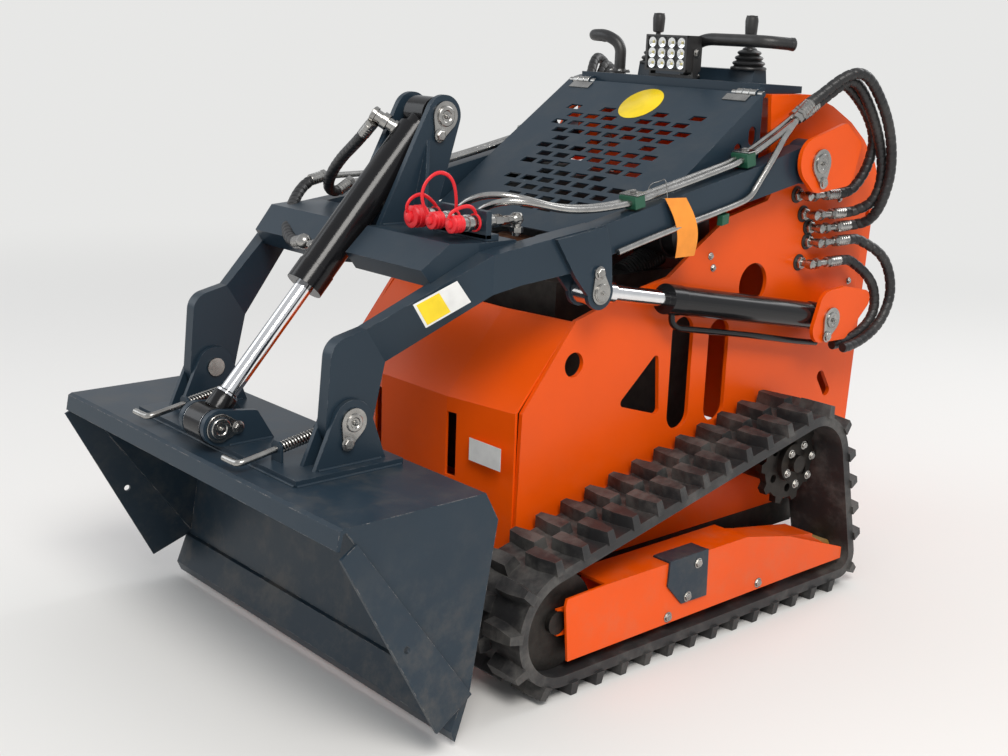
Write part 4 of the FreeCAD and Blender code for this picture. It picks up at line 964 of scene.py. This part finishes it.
for name, points in TILT_HOSES:
    line, run = flowing(points, 2.4)
    for parts, place, beyond in ((arm_parts, line[0], line[8]), (barrel_parts, line[-1], line[-9])):
        parts += [crimp(place, beyond - place, 2, TILT_CRIMP), lathe(place, beyond - place, TILT_NUT, 6)]
    first, last = np.searchsorted(run, [TILT_CRIMP, run[-1] - TILT_CRIMP])
    line, run = line[first:last], run[first:last]
    hose = piece(f"hose_tilt_{name}", [guarded(line, run)], hose_rubber, crease=50)
    path = placed(line)
    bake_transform(hose)
piece("tilt_ports", barrel_parts, zinc, "tilt_barrel", crease=30)
piece("tilt_tube_nuts", arm_parts, zinc, "lift_arms", crease=30)


# Carrier and bucket
# The carrier's two locking bars slide in welded guides, each pushed by a coil spring. Weld beads
# run along the feet of its ears, and the bucket's coat is scratched and dusty where it digs.
def spring(place, axis, radius, wire, turns, height):
    """Coil: a circle of the wire's size carried along a helix."""
    angle = np.linspace(0, 2 * np.pi * turns, int(turns * 18))
    axis = unit(axis)
    side, across = square_to(axis)
    line = (np.asarray(place, float) + axis * (angle / angle[-1] * height)[:, None]
            + radius * (np.cos(angle)[:, None] * side + np.sin(angle)[:, None] * across))
    return carried(line, circle(wire, 8), axis)


TILT_EYE = np.array([0.0, -908.0, 530.0])
ROD_WAY = unit((0.0, 513.0, 567.0))
HANDLES = (
    # side, x of the bar, height of its handle, x of the handle's end and bend
    ("right", -165, 506, -218, -186),
    ("left", 175, 500, 125, 154),
)
BAR_R, SPRING_R, SPRING_WIRE, SPRING_LENGTH = 6.2, 9.8, 1.9, 84.0
SPRING_SEAT = [(0, 11), (0.4, 11.8), (2.1, 11.8), (2.5, 11)]
BAR_WAY = unit((0.0, 93.0, 17.0))
GUIDE_FOOT = 490.0
for side_name, x, z, end_x, bend_x in HANDLES:
    bar = [(end_x, -945, z), (bend_x, -945, z), (x, -944, z + 1), (x, -915, z + 6), (x, -861, z + 16),
           (x, -768, z + 33), (x, -752, z + 36)]
    start = np.array([x, -858.0, z + 16])
    shapes = [carried(flowing(bar, 3.0)[0], circle(BAR_R), (0.1, 0.05, 1)),
              spring(start, BAR_WAY, SPRING_R, SPRING_WIRE, 13, SPRING_LENGTH),
              lathe(start - 2.5 * BAR_WAY, BAR_WAY, SPRING_SEAT, 24)]
    handle = piece("lock_handle_bar_" + side_name, shapes, zinc, "bucket", crease=40)
    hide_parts("lock_handle_" + side_name)
    guides = []
    for along in (-8.0, SPRING_LENGTH + 2):
        y, top = (start + along * BAR_WAY)[1:] + [0, 16]
        half = [(17, GUIDE_FOOT), (17, top - 8), (9, top)]
        face = [(x + out, y, up) for out, up in half] + [(x - out, y, up) for out, up in half[::-1]]
        guides.append(slab(face, (0, 1, 0), 5.0))
    piece("lock_guides_" + side_name, guides, slate_paint, "bucket")


def drop(place_a, radius_a, place_b, radius_b, x, steps=40):
    """Drop-shaped outline round two circles: at each angle, the one that reaches further out."""
    angle = np.arange(steps) * 2 * np.pi / steps
    out = np.stack([np.cos(angle), np.sin(angle)], 1)
    a, b = np.asarray(place_a, float), np.asarray(place_b, float)
    nearer = (out @ a + radius_a > out @ b + radius_b)[:, None]
    edge = np.where(nearer, a + radius_a * out, b + radius_b * out)
    return np.column_stack([np.full(steps, float(x)), edge])


KEEPER_BOLT = (-871, 527)
keeper = [slab(drop(TILT_EYE[1:], 28, KEEPER_BOLT, 10, 46.3), (1, 0, 0), 4.7, 0.8),
          pin_end((52.2, *TILT_EYE[1:]), 21), *hex_bolt((51.0, *KEEPER_BOLT), (1, 0, 0), 10, 7)]
piece("tilt_eye_keeper", keeper, zinc, "bucket")
EYE_HALF = 29.6
sleeve = [lathe((-EYE_HALF, *TILT_EYE[1:]), (1, 0, 0), [(0, 33), (1.2, 34.8), (58, 34.8), (59.2, 33)], 40),
          lathe(TILT_EYE, ROD_WAY, [(30, 25), (60, 25), (66, 22), (69, 20.5), (71, 18.2)], 32)]
piece("tilt_rod_end", sleeve, gloss_black, "tilt_rod", crease=40)

scuffed_slate = painted("scuffed_slate_coat", SLATE, rgb(0.21, 0.20, 0.19), dust=0.18, chips=2.2)
dress(scuffed_slate, "slate_paint", "bucket_shell", "cutting_edge")


def weld(points, radius=3.2, ripple=4.6):
    """Weld bead: a round bar along straight runs, whose radius swells once in each ripple."""
    points = np.array(points, float)
    run = np.r_[0, np.cumsum(np.linalg.norm(np.diff(points, axis=0), axis=1))]
    even = np.linspace(0, run[-1], int(run[-1] / 1.3) + 2)
    line = np.stack([np.interp(even, run, points[:, k]) for k in range(3)], 1)
    swell = radius * (1 + 0.16 * np.abs(np.sin(np.pi * even / ripple)))
    return carried(line, swell[:, None, None] * circle(1.0, 8), (0.13, 0.09, 1))


PLATE_TOP, EAR_FOOT, ARM_TOP = 480.5, 492.5, 888.5
CARRIER_RUNS = (
    # x, from y, to y, height
    (292, -898, -668, PLATE_TOP), (270, -838, -700, EAR_FOOT),
    (220, -838, -700, EAR_FOOT), (46.5, -888, -794, EAR_FOOT),
)
carrier_welds = [weld([(-288, -900, PLATE_TOP), (288, -900, PLATE_TOP)])]
arm_welds = []
for side_name, side in SIDES:
    carrier_welds += [weld([(side * x, y0, z), (side * x, y1, z)]) for x, y0, y1, z in CARRIER_RUNS]
    arm_welds += [weld([(side * 58.5, -545, ARM_TOP), (side * 58.5, -428, ARM_TOP)]),
                  weld([(side * 58.5, -547, ARM_TOP), (side * 46, -547, ARM_TOP)])]
piece("carrier_welds", carrier_welds, slate_paint, "bucket", crease=60)
piece("cross_member_welds", arm_welds, slate_paint, "lift_arms", crease=60)
